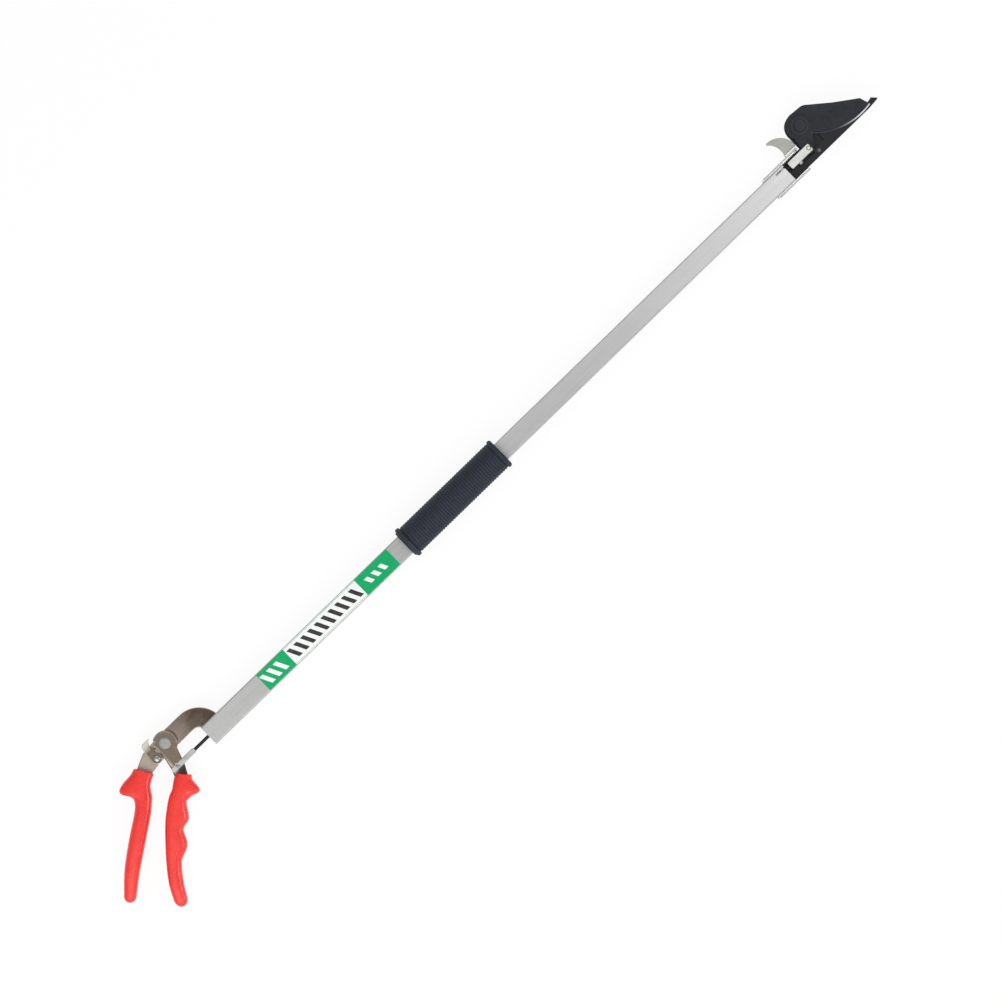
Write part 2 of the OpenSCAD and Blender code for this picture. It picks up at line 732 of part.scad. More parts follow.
module rod_clevis() {
    gap = lever_t / 2 + plate_gap;
    height = gap + clevis_prong_t;
    round = clevis_width / 2 - 0.2;
    color("#c9c9c6") stand() difference() {
        on_rod() translate([0, 0, -height]) linear_extrude(2 * height) difference() {
            translate([(clevis_reach - clevis_nose) / 2, 0])
                rounded_rect(clevis_reach + clevis_nose, clevis_width, round);
        }
        on_rod() translate([-clevis_nose - cut, -clevis_width, -gap])
            cube([clevis_nose + clevis_root() + cut, 2 * clevis_width, 2 * gap]);
        on_rod() cylinder(h = 4 * height, r = link_pin_r + rivet_gap, center = true);
        rod_cylinder(clevis_root() - cut, clevis_reach, rod_r + rivet_gap);
    }
}

module clevis_pin() {
    height = lever_t + 2 * plate_gap + 2 * clevis_prong_t;
    color("#b2b2b0") stand() on_rod() cylinder(h = height, r = link_pin_r, center = true);
}

module spring_collar() {
    start = collar_x - clevis_pin_at.x;
    color("#a8a9ab") stand() difference() {
        rod_cylinder(start, collar_length, spring_r + spring_wire / 2 + 0.2);
        rod_cylinder(start - cut, collar_length + 2 * cut, rod_r + rivet_gap);
    }
}

// Return spring: one tube along a helix round the rod
spring_rings = 8;
spring_sides = 6;
spring_span = spring_length - spring_wire - 0.2;
spring_start = spring_x - clevis_pin_at.x + spring_wire / 2 + 0.1;
spring_pitch = spring_span / spring_turns;
spring_slope = atan2(spring_pitch, 2 * PI * spring_r);
function spring_ring(k) = let (turn = 360 * k / spring_rings, radial = [0, cos(turn), sin(turn)],
    lift = [cos(spring_slope), sin(turn) * sin(spring_slope), -cos(turn) * sin(spring_slope)]) [
    for (j = [0 : spring_sides - 1]) let (a = 360 * j / spring_sides)
        [spring_span * k / (spring_turns * spring_rings), 0, 0] + spring_r * radial
            + spring_wire / 2 * (cos(a) * radial + sin(a) * lift)
];
spring_points = [for (k = [0 : spring_turns * spring_rings]) each spring_ring(k)];
function spring_faces(count) = let (rings = count / spring_sides) [
    for (k = [1 : spring_sides - 2]) [0, k, k + 1],
    for (j = [0 : rings - 2], k = [0 : spring_sides - 1])
        let (n = (k + 1) % spring_sides, a = j * spring_sides, b = a + spring_sides)
            each [[a + k, b + k, b + n], [a + k, b + n, a + n]],
    for (k = [1 : spring_sides - 2]) let (last = count - spring_sides) [last, last + k + 1, last + k]
];
spring_line = [for (k = [0 : spring_turns * spring_rings])
    [spring_span * k / (spring_turns * spring_rings), spring_r * cos(360 * k / spring_rings),
        spring_r * sin(360 * k / spring_rings)]];
spring_last = len(spring_line) - 1;
echo(spring_least_gap = min([for (i = [0 : spring_last], j = [i + spring_rings / 2 : spring_last])
    norm(spring_line[i] - spring_line[j])]) - spring_wire);

module return_spring() {
    color("#9a9b9d") stand() on_rod(spring_start) polyhedron(spring_points, spring_faces(len(spring_points)));
}

// Head

module jaw_outline(body_x, body_end) {
    difference() {
        polygon([
            [body_x, -jaw_drop], each jaw_tip, [jaw_tip[len(jaw_tip) - 1].x, blade_pivot.y],
            [body_x, blade_pivot.y]
        ]);
        translate(edge_centre) circle(edge_r - edge_overlap);
        translate([body_end, blade_pivot.y - 5]) square(head_length);
    }
}

module fixed_blade_plate() {
    body_x = blade_pivot.x - 14.5;
    body_end = blade_pivot.x + 8;
    boss = [
        [blade_pivot.x, blade_pivot.y, blade_boss_r],
        [body_x + blade_boss_r, blade_pivot.y - 0.4, blade_boss_r]
    ];
    plate(fixed_blade_z, fixed_blade_t) jaw_outline(body_x, body_end);
    translate([tube_gap, -jaw_drop, fixed_blade_z])
        cube([body_end - tube_gap, 2 * jaw_drop - 0.3, fixed_blade_t]);
    translate([body_x, 0, fixed_blade_z]) cube([blade_pivot.x - body_x, blade_pivot.y, fixed_blade_t]);
    strap(boss, fixed_blade_z, fixed_blade_t);
}

// Space that the fork, the rod and the clamp screw sweep in the fixed blade
module fork_pocket() {
    low = fork_pin_at.y - fork_width / 2 - plate_gap;
    high = fork_pin_at.y + fork_width / 2 + plate_gap;
    end = fork_pin_at.x + fork_nose + rod_travel + 2 * plate_gap;
    screw_x = fork_pin_at.x - screw_back;
    screw_low = low - screw_head_h - plate_gap;
    translate([-blade_tang_length - cut, low]) square([blade_tang_length + cut + end, high - low]);
    translate([screw_x - screw_head_r - 2 * plate_gap, screw_low])
        square([2 * screw_head_r + 4 * plate_gap + rod_travel, low - screw_low + cut]);
}

module fixed_blade() {
    tang_half = upper_inner_width / 2 - (tube_corner - upper_wall) - tube_gap;
    tang_top = fork_pin_at.y - fork_width / 2 - plate_gap;
    color("#2a2b2f") stand() at_head() difference() {
        union() {
            fixed_blade_plate();
            plate(fixed_blade_z, fixed_blade_t) translate([-blade_tang_length, -tang_half])
                square([blade_tang_length + cut, tang_half + tang_top]);
            plate(bracket_top, fixed_blade_z - bracket_top) bracket_pad();
        }
        plate(fork_pocket_z, fixed_blade_t) fork_pocket();
        bracket_rivet_places() cylinder(h = lower_depth, r = bracket_rivet_r + rivet_gap, center = true);
        translate(blade_pivot) cylinder(h = lower_depth, r = blade_bolt_r + rivet_gap, center = true);
    }
}

// Raised pad on the back of the fixed blade that seats on the bracket
module bracket_pad() {
    translate([tube_gap, -jaw_drop + 0.2]) square([bracket_front - tube_gap, 2 * jaw_drop - 1]);
    translate([tube_gap, -jaw_drop + 0.2]) square([bracket_tongue_x() - tube_gap, jaw_drop - 1]);
}

function bracket_tongue_x() = blade_pivot.x + 2.5;

module bracket_rivet_places() {
    low = (fork_pin_at.y - fork_width / 2 - jaw_drop) / 2;
    for (x = [-bracket_back + 6.5, -5.5, blade_pivot.x - 2.5]) translate([x, low, 0]) children();
}

module bracket_rivets() {
    color("#9c9ea1") stand() at_head() bracket_rivet_places()
        rivet(bracket_rivet_r, bracket_z, fixed_blade_top, 1.2);
}

module head_bracket() {
    color("#cfd0d0") stand() at_head() difference() {
        union() {
            bracket_side(1, bracket_front);
            bracket_side(-1, bracket_front - 3.3);
            plate(bracket_z, bracket_t) translate([0, -jaw_drop + 0.2])
                square([bracket_tongue_x(), jaw_drop - 1]);
        }
        bracket_rivet_places() cylinder(h = 3 * lower_depth, r = bracket_rivet_r + rivet_gap, center = true);
    }
}

// One half of the bracket's channel, on the given side of the centre line
module bracket_side(side, front) {
    half = bracket_width / 2 + cut;
    tall = 2 * (bracket_rise - bracket_z);
    intersection() {
        translate([0, 0, bracket_rise]) across_pole(-bracket_back, bracket_back + front) difference() {
            rounded_rect(bracket_width, tall, bracket_bend);
            rounded_rect(bracket_width - 2 * bracket_t, tall - 2 * bracket_t, bracket_bend - bracket_t);
        }
        translate([0, side > 0 ? half : 0, 0]) rotate([90, 0, 0]) linear_extrude(half) flange_outline(front);
    }
}

// Side view of a bracket flange, with rounded upper corners
module flange_outline(front) {
    round = 3;
    difference() {
        translate([-bracket_back - cut, bracket_z - cut])
            square([bracket_back + front + 2 * cut, bracket_rise - bracket_z + cut]);
        for (corner = [[-bracket_back, 1], [front, -1]]) translate([corner[0], bracket_rise]) difference() {
            square(2 * round, center = true);
            translate([corner[1] * round, -round]) circle(round);
        }
    }
}

module branch_hook() {
    seat = bracket_width / 2;
    foot_x = hook_inner.x + hook_inner.z - 0.6;
    color("#afafa7") stand() at_head() {
        plate(-hook_t / 2, hook_t) intersection() {
            difference() {
                translate([hook_outer.x, hook_outer.y]) circle(hook_outer.z);
                translate([hook_inner.x, hook_inner.y]) circle(hook_inner.z);
            }
            translate([hook_tip.x, seat]) square(head_length);
        }
        translate([hook_tip.x, hook_tip.y, -hook_t / 2]) cylinder(h = hook_t, r = hook_tip.z);
        translate([foot_x, seat, -bracket_rise])
            cube([bracket_front + 1 - foot_x, hook_foot_t, 2 * bracket_rise - 1]);
    }
}

// Cutting blade

module blade_blank() {
    belly = [blade_back[1].x - 6, blade_back[1].y - 6];
    tip = blade_back[len(blade_back) - 1];
    below = edge_centre.y - edge_r - cut;
    corner = [tip.x, tip.y] + polar(tip.z - web_tuck, blade_end_angle);
    foot_x = corner.x + (corner.y - below) * tan(blade_end_angle);
    intersection() {
        union() {
            strap(blade_back, blade_z, blade_t);
            plate(blade_z, blade_t) polygon([belly, [belly.x, below], [foot_x, below], corner]);
        }
        translate(edge_centre) cylinder(h = 2 * lower_depth, r = edge_r, center = true, $fn = 180);
    }
}

// Ground bevel along the cutting edge, cut from the front face
module edge_grind() {
    land = 0.4;
    translate([edge_centre.x, edge_centre.y, blade_z]) rotate_extrude($fn = 180) polygon([
        [edge_r - edge_bevel, blade_t], [edge_r, land], [edge_r + cut, land],
        [edge_r + cut, blade_t + cut], [edge_r - edge_bevel, blade_t + cut]
    ]);
}

module cutting_blade() {
    color("#2d323c") stand() at_head() difference() {
        union() {
            difference() {
                blade_blank();
                edge_grind();
            }
            plate(blade_z, blade_t) translate(blade_pivot) circle(blade_boss_r);
            strap(blade_tail, blade_z, blade_t);
        }
        translate(blade_pivot) cylinder(h = lower_depth, r = blade_bolt_r + run_gap, center = true);
        radial_slot(blade_pivot, tail, link_pin_r + plate_gap, tail_slot_in);
    }
}

module blade_bolt() {
    seat = blade_top + blade_washer_t + 2 * run_gap;
    color("#232427") stand() at_head() translate([blade_pivot.x, blade_pivot.y, seat])
        hex_bolt(blade_bolt_r, seat - fixed_blade_z + blade_nut_h + thread_end, 5.6, 3.4, 5.9, 0.8);
}

blade_washer_t = 0.8;

module blade_washer() {
    seat = blade_top + run_gap;
    color("#232427") stand() at_head() translate([blade_pivot.x, blade_pivot.y, seat]) difference() {
        cylinder(h = blade_washer_t, r = blade_bolt_r + 4);
        translate([0, 0, -cut]) cylinder(h = blade_washer_t + 2 * cut, r = blade_bolt_r + rivet_gap);
    }
}

module blade_nut() {
    color("#232427") stand() at_head() translate([blade_pivot.x, blade_pivot.y, fixed_blade_z - blade_nut_h])
        hex_nut(blade_nut_r, blade_nut_h, blade_bolt_r + rivet_gap);
}

// Rod fork

module rod_fork() {
    root = rod_run - screw_back + 3.1;
    round = 1.6;
    color("#cdcecb") stand() difference() {
        on_rod() translate([0, 0, fork_z - rod_z]) linear_extrude(fork_top - fork_z)
            translate([rod_run + (fork_nose - fork_reach) / 2, 0])
                rounded_rect(fork_reach + fork_nose, fork_width, round);
        on_rod(root) translate([0, -fork_width, fork_back_top - rod_z])
            cube([fork_reach, 2 * fork_width, fork_front_z - fork_back_top]);
        on_rod(rod_run) cylinder(h = 2 * lower_depth, r = link_pin_r + rivet_gap, center = true);
        rod_cylinder(rod_run - fork_reach - cut, fork_reach - screw_back + 3.1 + cut, rod_r + rivet_gap);
        on_rod(rod_run - screw_back) rotate([90, 0, 0]) cylinder(h = fork_width, r = screw_r + rivet_gap);
    }
}

screw_r = 1.3;

module fork_pin() {
    color("#b2b2b0") stand() on_rod(rod_run) translate([0, 0, fork_z - rod_z])
        cylinder(h = fork_top - fork_z, r = link_pin_r);
}

module fork_screw() {
    color("#b9bab8") stand() on_rod(rod_run - screw_back) rotate([90, 0, 0]) {
        translate([0, 0, rod_r + rivet_gap]) cylinder(h = fork_width / 2 - rod_r, r = screw_r);
        translate([0, 0, fork_width / 2])
            cylinder(h = screw_head_h, r1 = screw_head_r, r2 = screw_head_r * 0.8);
    }
}

lower_pole();
upper_pole();
pole_rivets();
grip_sleeve();
label();
lower_guide();
middle_guide();
upper_guide();
fixed_arm();
arm_rivets();
fixed_grip();
pivot_bolt();
pivot_nut();
pivot_washer();
latch_rivet();
head_bracket();
bracket_rivets();
branch_hook();
fixed_blade();
blade_bolt();
blade_nut();
blade_washer();
lever_plate();
lever_grip();
pull_rod();
rod_clevis();
clevis_pin();
spring_collar();
return_spring();
rod_fork();
fork_pin();
fork_screw();
cutting_blade();
lock_latch();
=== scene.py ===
import json
import math

import bmesh
import bpy
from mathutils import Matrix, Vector


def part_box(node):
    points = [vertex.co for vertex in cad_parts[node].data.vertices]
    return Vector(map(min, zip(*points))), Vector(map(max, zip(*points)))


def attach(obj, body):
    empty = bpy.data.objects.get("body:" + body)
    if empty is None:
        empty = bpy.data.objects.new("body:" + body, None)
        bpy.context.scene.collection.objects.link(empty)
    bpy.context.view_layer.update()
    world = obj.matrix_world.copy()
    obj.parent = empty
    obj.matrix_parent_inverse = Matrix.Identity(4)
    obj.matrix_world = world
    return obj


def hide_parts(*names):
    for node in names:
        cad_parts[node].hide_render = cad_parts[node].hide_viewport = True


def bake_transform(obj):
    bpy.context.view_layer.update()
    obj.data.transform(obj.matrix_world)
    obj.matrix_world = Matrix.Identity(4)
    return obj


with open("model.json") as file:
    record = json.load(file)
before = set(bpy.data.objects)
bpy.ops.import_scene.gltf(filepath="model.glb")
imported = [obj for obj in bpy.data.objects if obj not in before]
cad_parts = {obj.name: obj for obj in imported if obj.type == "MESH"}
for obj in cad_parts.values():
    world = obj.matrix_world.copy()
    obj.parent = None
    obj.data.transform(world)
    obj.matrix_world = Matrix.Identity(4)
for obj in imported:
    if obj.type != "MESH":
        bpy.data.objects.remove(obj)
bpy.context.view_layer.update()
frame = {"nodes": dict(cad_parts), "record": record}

MM = 0.001
tube_low, tube_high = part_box("lower_pole")
MOUTH = Vector((tube_low.x, (tube_low.y + tube_high.y) / 2, (tube_low.z + tube_high.z) / 2))
JOINTS = {joint["name"]: joint for joint in frame["record"]["behaviour"]["joints"]}


def at(x, y, z=0.0):
    """A place given in millimetres from the mouth of the pole, in the part's frame."""
    return MOUTH + MM * Vector((x, y, z))


def from_mouth(place):
    """Millimetres from the mouth of the pole to a place in the part's frame."""
    return (Vector(place) - MOUTH) / MM


def pivot(name):
    """Where a hinge's axis meets the front of the tool, in millimetres along and across the pole."""
    return tuple(from_mouth(JOINTS[name]["pos_m"]).xy)


def arc(start, end, steps):
    """Cosine and sine at even steps from one angle to another, in degrees."""
    for k in range(steps + 1):
        angle = math.radians(start + (end - start) * k / steps)
        yield math.cos(angle), math.sin(angle)


HANDLE_PIVOT = pivot("lever_pivot")
LATCH_PIVOT = pivot("latch_pivot")
pin_low, pin_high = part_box("clevis_pin")
CLEVIS_PIN = tuple(from_mouth((pin_low + pin_high) / 2).xy)


# Camera, light and floor

POLE_TILT = math.radians(44.16)
VIEW_CENTRE = at(339.4, -31.4)
VIEW_WIDTH = 0.911
VIEW_DEPTH = 30.0
LENS = 180.0
SENSOR = 36.0
LIGHT_SIDE = (-0.75, -0.66, 0.0)
ROOM_LEVELS = (0.35, 1.1)
FLOOR_HALF = 6.0
FLOOR_DROP = 0.0005
FLOOR_WHITE = 0.95
FLOOR_GLOW = 0.9


def add_camera():
    camera = bpy.data.cameras.new("camera")
    camera.lens = LENS
    camera.sensor_width = SENSOR
    camera.clip_end = VIEW_DEPTH
    holder = bpy.data.objects.new("camera", camera)
    bpy.context.scene.collection.objects.link(holder)
    distance = VIEW_WIDTH * LENS / SENSOR
    holder.location = VIEW_CENTRE + Vector((0, 0, distance))
    holder.rotation_euler = (0, 0, -POLE_TILT)
    bpy.context.scene.camera = holder


def add_lamp(name, place, target, size, power, spread=180.0):
    lamp = bpy.data.lights.new(name, "AREA")
    lamp.spread = math.radians(spread)
    lamp.shape = "DISK"
    lamp.size = size
    lamp.energy = power
    holder = bpy.data.objects.new(name, lamp)
    bpy.context.scene.collection.objects.link(holder)
    holder.location = place
    holder.rotation_euler = (Vector(target) - Vector(place)).to_track_quat("-Z", "Y").to_euler()


def add_world():
    """A pale room, brighter on the side that the light comes from."""
    world = bpy.data.worlds.new("room")
    bpy.context.scene.world = world
    world.use_nodes = True
    tree = world.node_tree
    background = tree.nodes["Background"]
    background.inputs["Color"].default_value = (1.0, 1.0, 1.0, 1.0)
    coordinates = tree.nodes.new("ShaderNodeTexCoord")
    facing = tree.nodes.new("ShaderNodeVectorMath")
    facing.operation = "DOT_PRODUCT"
    facing.inputs[1].default_value = LIGHT_SIDE
    slope = tree.nodes.new("ShaderNodeMapRange")
    slope.inputs["From Min"].default_value = -1.0
    slope.inputs["From Max"].default_value = 1.0
    slope.inputs["To Min"].default_value = ROOM_LEVELS[0]
    slope.inputs["To Max"].default_value = ROOM_LEVELS[1]
    tree.links.new(coordinates.outputs["Generated"], facing.inputs[0])
    tree.links.new(facing.outputs["Value"], slope.inputs["Value"])
    tree.links.new(slope.outputs["Result"], background.inputs["Strength"])


def add_floor():
    """A white sheet that the camera and reflections see as white, with a faint shadow on it."""
    mesh = bpy.data.meshes.new("floor")
    corners = [(FLOOR_HALF * x, FLOOR_HALF * y, 0.0) for x, y in ((-1, -1), (1, -1), (1, 1), (-1, 1))]
    mesh.from_pydata(corners, [], [(0, 1, 2, 3)])
    floor = bpy.data.objects.new("floor", mesh)
    floor.location.z = -FLOOR_DROP
    bpy.context.scene.collection.objects.link(floor)
    material = bpy.data.materials.new("floor_white")
    material.use_nodes = True
    tree = material.node_tree
    tree.nodes.clear()
    output = tree.nodes.new("ShaderNodeOutputMaterial")
    diffuse = tree.nodes.new("ShaderNodeBsdfDiffuse")
    diffuse.inputs["Color"].default_value = (FLOOR_WHITE, FLOOR_WHITE, FLOOR_WHITE, 1.0)
    glow = tree.nodes.new("ShaderNodeEmission")
    glow.inputs["Strength"].default_value = 1.0
    path = tree.nodes.new("ShaderNodeLightPath")
    seen = tree.nodes.new("ShaderNodeMath")
    seen.operation = "MAXIMUM"
    share = tree.nodes.new("ShaderNodeMath")
    share.operation = "MULTIPLY"
    share.inputs[1].default_value = FLOOR_GLOW
    mix = tree.nodes.new("ShaderNodeMixShader")
    tree.links.new(path.outputs["Is Camera Ray"], seen.inputs[0])
    tree.links.new(path.outputs["Is Glossy Ray"], seen.inputs[1])
    tree.links.new(seen.outputs[0], share.inputs[0])
    tree.links.new(share.outputs[0], mix.inputs["Fac"])
    tree.links.new(diffuse.outputs[0], mix.inputs[1])
    tree.links.new(glow.outputs[0], mix.inputs[2])
    tree.links.new(mix.outputs[0], output.inputs["Surface"])
    mesh.materials.append(material)


bpy.context.scene.view_settings.view_transform = "Standard"
add_camera()
add_lamp("key", place=(-0.95, -0.85, 1.6), target=(0.0, 0.0, 0.0), size=1.3, power=11.0)
add_lamp("fill", place=(0.6, 1.1, 1.9), target=(0.0, 0.0, 0.0), size=1.6, power=5.0)
add_lamp("handle_light", place=(-0.78, -0.1, 0.9), target=(-0.4, 0.03, 0.0), size=0.6, power=0.17,
         spread=70.0)
add_lamp("grip_light", place=(0.31, -0.76, 0.65), target=(-0.43, -0.03, 0.0), size=0.45, power=0.2,
         spread=40.0)
add_lamp("head_light", place=(0.7, 0.05, 1.0), target=(0.42, 0.05, 0.0), size=0.6, power=0.32,
         spread=70.0)
add_world()
add_floor()


# Materials


class Finish:
    """One procedural material, with helpers for the few node patterns that the finishes share."""

    def __init__(self, name, metallic=0.0, specular=0.5):
        self.material = bpy.data.materials.new(name)
        self.material.use_nodes = True
        self.tree = self.material.node_tree
        self.shader = self.tree.nodes["Principled BSDF"]
        self.shader.inputs["Metallic"].default_value = metallic
        self.shader.inputs["Specular IOR Level"].default_value = specular
        self.place = self.tree.nodes.new("ShaderNodeTexCoord").outputs["Object"]

    def node(self, kind, **values):
        node = self.tree.nodes.new(kind)
        for name, value in values.items():
            setattr(node, name, value)
        return node

    def link(self, source, target):
        self.tree.links.new(source, target)

    def noise(self, scale, stretch=(1.0, 1.0, 1.0), detail=3.0, rough=0.55):
        """Noise with so many waves to the metre, squeezed or drawn out along each axis."""
        mapping = self.node("ShaderNodeMapping")
        mapping.inputs["Scale"].default_value = stretch
        self.link(self.place, mapping.inputs["Vector"])
        noise = self.node("ShaderNodeTexNoise")
        noise.inputs["Scale"].default_value = scale
        noise.inputs["Detail"].default_value = detail
        noise.inputs["Roughness"].default_value = rough
        self.link(mapping.outputs["Vector"], noise.inputs["Vector"])
        return noise.outputs["Fac"]

    def axes(self):
        """The place as three separate values, in millimetres from the mouth of the pole."""
        offset = self.node("ShaderNodeVectorMath", operation="SUBTRACT")
        offset.inputs[1].default_value = MOUTH
        self.link(self.place, offset.inputs[0])
        scale = self.node("ShaderNodeVectorMath", operation="SCALE")
        scale.inputs["Scale"].default_value = 1 / MM
        self.link(offset.outputs["Vector"], scale.inputs[0])
        split = self.node("ShaderNodeSeparateXYZ")
        self.link(scale.outputs["Vector"], split.inputs["Vector"])
        return split.outputs

    def ramp(self, value, stops):
        """Colours along a value, as (position, (red, green, blue))."""
        ramp = self.node("ShaderNodeValToRGB")
        elements = ramp.color_ramp.elements
        while len(elements) < len(stops):
            elements.new(0.5)
        for element, (position, colour) in zip(elements, stops):
            element.position = position
            element.color = (*colour, 1.0)
        self.link(value, ramp.inputs["Fac"])
        return ramp.outputs["Color"]

    def span(self, value, low, high, start=0.3, end=0.7):
        """A value that goes from start to end, spread between two numbers."""
        spread = self.node("ShaderNodeMapRange")
        spread.inputs["From Min"].default_value = start
        spread.inputs["From Max"].default_value = end
        spread.inputs["To Min"].default_value = low
        spread.inputs["To Max"].default_value = high
        self.link(value, spread.inputs["Value"])
        return spread.outputs["Result"]

    def mix(self, share, first, second):
        mix = self.node("ShaderNodeMix", data_type="RGBA")
        self.link(share, mix.inputs["Factor"])
        for socket, colour in ((mix.inputs["A"], first), (mix.inputs["B"], second)):
            if isinstance(colour, tuple):
                socket.default_value = (*colour, 1.0)
            else:
                self.link(colour, socket)
        return mix.outputs["Result"]

    def math(self, operation, first, second=0.0):
        node = self.node("ShaderNodeMath", operation=operation)
        for socket, value in ((node.inputs[0], first), (node.inputs[1], second)):
            if isinstance(value, (int, float)):
                socket.default_value = value
            else:
                self.link(value, socket)
        return node.outputs[0]

    def within(self, value, low, high):
        """One where a value lies between two numbers, otherwise nought."""
        above = self.math("GREATER_THAN", value, low)
        below = self.math("LESS_THAN", value, high)
        return self.math("MULTIPLY", above, below)

    def distance(self, first, second):
        """How far a point is from the origin of two values at right angles."""
        square = self.math("ADD", self.math("MULTIPLY", first, first), self.math("MULTIPLY", second, second))
        return self.math("SQRT", square)

    def weigh(self, first, second, share):
        """Two values added, the first with its share and the second with the rest."""
        return self.math("ADD", self.math("MULTIPLY", first, share), self.math("MULTIPLY", second, 1 - share))

    def bump(self, height, distance, strength):
        bump = self.node("ShaderNodeBump")
        bump.inputs["Strength"].default_value = strength
        bump.inputs["Distance"].default_value = distance
        self.link(height, bump.inputs["Height"])
        self.link(bump.outputs["Normal"], self.shader.inputs["Normal"])

    def colour(self, source):
        self.link(source, self.shader.inputs["Base Color"])

    def roughness(self, source):
        self.link(source, self.shader.inputs["Roughness"])


def between(dark, light):
    """Three stops of a ramp from a dark to a light colour."""
    middle = tuple((a + b) / 2 for a, b in zip(dark, light))
    return [(0.3, dark), (0.5, middle), (0.72, light)]


def drawn_aluminium(name, dark, light):
    """Anodised extrusion with fine die lines along it, slow clouds and a few faint scuffs."""
    finish = Finish(name, metallic=0.8)
    lines = finish.noise(900.0, stretch=(0.02, 1.0, 1.0), detail=4.0)
    clouds = finish.noise(9.0, stretch=(0.4, 1.0, 1.0), detail=2.0)
    scuffs = finish.noise(160.0, stretch=(0.12, 1.0, 1.0), detail=6.0, rough=0.7)
    tone = finish.weigh(lines, clouds, 0.45)
    worn = finish.math("SUBTRACT", tone, finish.span(scuffs, 0.0, 0.08, start=0.62, end=0.72))
    finish.colour(finish.ramp(worn, between(dark, light)))
    finish.roughness(finish.span(lines, 0.34, 0.5))
    finish.bump(lines, distance=0.04 * MM, strength=0.5)
    return finish.material


# Near black colour of the painted shade below the clevis on the lever.
PAINTED_SHADE_COLOUR = (0.022, 0.021, 0.017)


def plated_steel(name, dark, light, rough=(0.26, 0.44), metallic=1.0, painted_light=None, painted_shade=None):
    """Pressed steel with uneven plating and fine rolling marks.
    A painted gradient (axis, from, to, reach) makes it paler where it starts and darker where it ends,
    painted light and shade for how the light falls along the part, and a painted shade (axis, from, to) turns
    it dark."""
    finish = Finish(name, metallic=metallic)
    clouds = finish.noise(70.0, detail=5.0)
    marks = finish.noise(600.0, stretch=(0.25, 1.0, 1.0), detail=4.0)
    blend = finish.weigh(clouds, marks, 0.7)
    # Painted light and shade: the tone is shifted paler towards the start of the span and darker towards its
    # end.
    if painted_light:
        axis, start, end, reach = painted_light
        shift = finish.span(finish.axes()[axis], reach, -reach, start, end)
        blend = finish.math("ADD", finish.span(blend, 0.43, 0.59), shift)
    tone = finish.ramp(blend, between(dark, light))
    # Painted shade: the tone is mixed towards near black over the span.
    if painted_shade:
        axis, start, end = painted_shade
        tone = finish.mix(finish.span(finish.axes()[axis], 0.0, 0.85, start, end), tone, PAINTED_SHADE_COLOUR)
    finish.colour(tone)
    finish.roughness(finish.span(blend, *rough))
    finish.bump(marks, distance=0.05 * MM, strength=0.6)
    return finish.material


def painted(name, dark, light, rough, grain=1400.0, specular=0.5):
    """A coat with a fine orange peel."""
    finish = Finish(name, specular=specular)
    clouds = finish.noise(55.0, detail=4.0)
    peel = finish.noise(grain, detail=2.0)
    finish.colour(finish.ramp(clouds, between(dark, light)))
    finish.roughness(finish.span(clouds, *rough))
    finish.bump(peel, distance=0.06 * MM, strength=0.5)
    return finish.material


def vinyl():
    """Red dipped vinyl with a soft skin, faint handling marks and a little depth of tone."""
    finish = Finish("red_vinyl", specular=0.45)
    clouds = finish.noise(38.0, detail=4.0)
    skin = finish.noise(1500.0, detail=3.0)
    finish.colour(finish.ramp(clouds, between((0.7, 0.023, 0.018), (0.82, 0.035, 0.027))))
    finish.roughness(finish.span(finish.noise(120.0, detail=4.0), 0.22, 0.34))
    finish.bump(skin, distance=0.05 * MM, strength=0.5)
    finish.shader.inputs["Subsurface Weight"].default_value = 0.06
    finish.shader.inputs["Subsurface Radius"].default_value = (0.004, 0.0012, 0.0008)
    finish.shader.inputs["Subsurface Scale"].default_value = 0.3
    return finish.material


# Radii over which the sleeve's colour goes from its grooves to its crests: rubbing wear on the crests and
# painted shade in the grooves.
CREST_WEAR_AND_SHADE_RADII = (14.1, 14.7)


def rubber():
    """Dark rubber, a little paler on its crests than in its grooves: partly where hands have rubbed the
    crests, partly painted shade in the grooves.
    """
    finish = Finish("sleeve_rubber", specular=0.25)
    dust = finish.noise(220.0, detail=6.0, rough=0.7)
    axes = finish.axes()
    crest = finish.span(finish.distance(axes["Y"], axes["Z"]), 0.0, 1.0, *CREST_WEAR_AND_SHADE_RADII)
    groove = finish.ramp(dust, between((0.008, 0.01, 0.018), (0.014, 0.018, 0.029)))
    ridge = finish.ramp(dust, between((0.015, 0.019, 0.032), (0.027, 0.033, 0.05)))
    finish.colour(finish.mix(crest, groove, ridge))
    finish.roughness(finish.span(dust, 0.5, 0.68))
    finish.bump(finish.noise(2600.0, detail=2.0), distance=0.06 * MM, strength=0.5)
    return finish.material


# The label's bars come in groups of (first, end, half length)

LABEL_PANEL = (102.9, 193.2)
LABEL_EDGE_LINE = (8.4, 8.9)
BAR_START = 107.0
BAR_PITCH = 8.6
BAR_SHARE = 0.5
BAR_SLANT = 0.5
BAR_GROUPS = [(-4, -1, 5.8), (0, 10, 5.8), (11, 14, 3.4)]


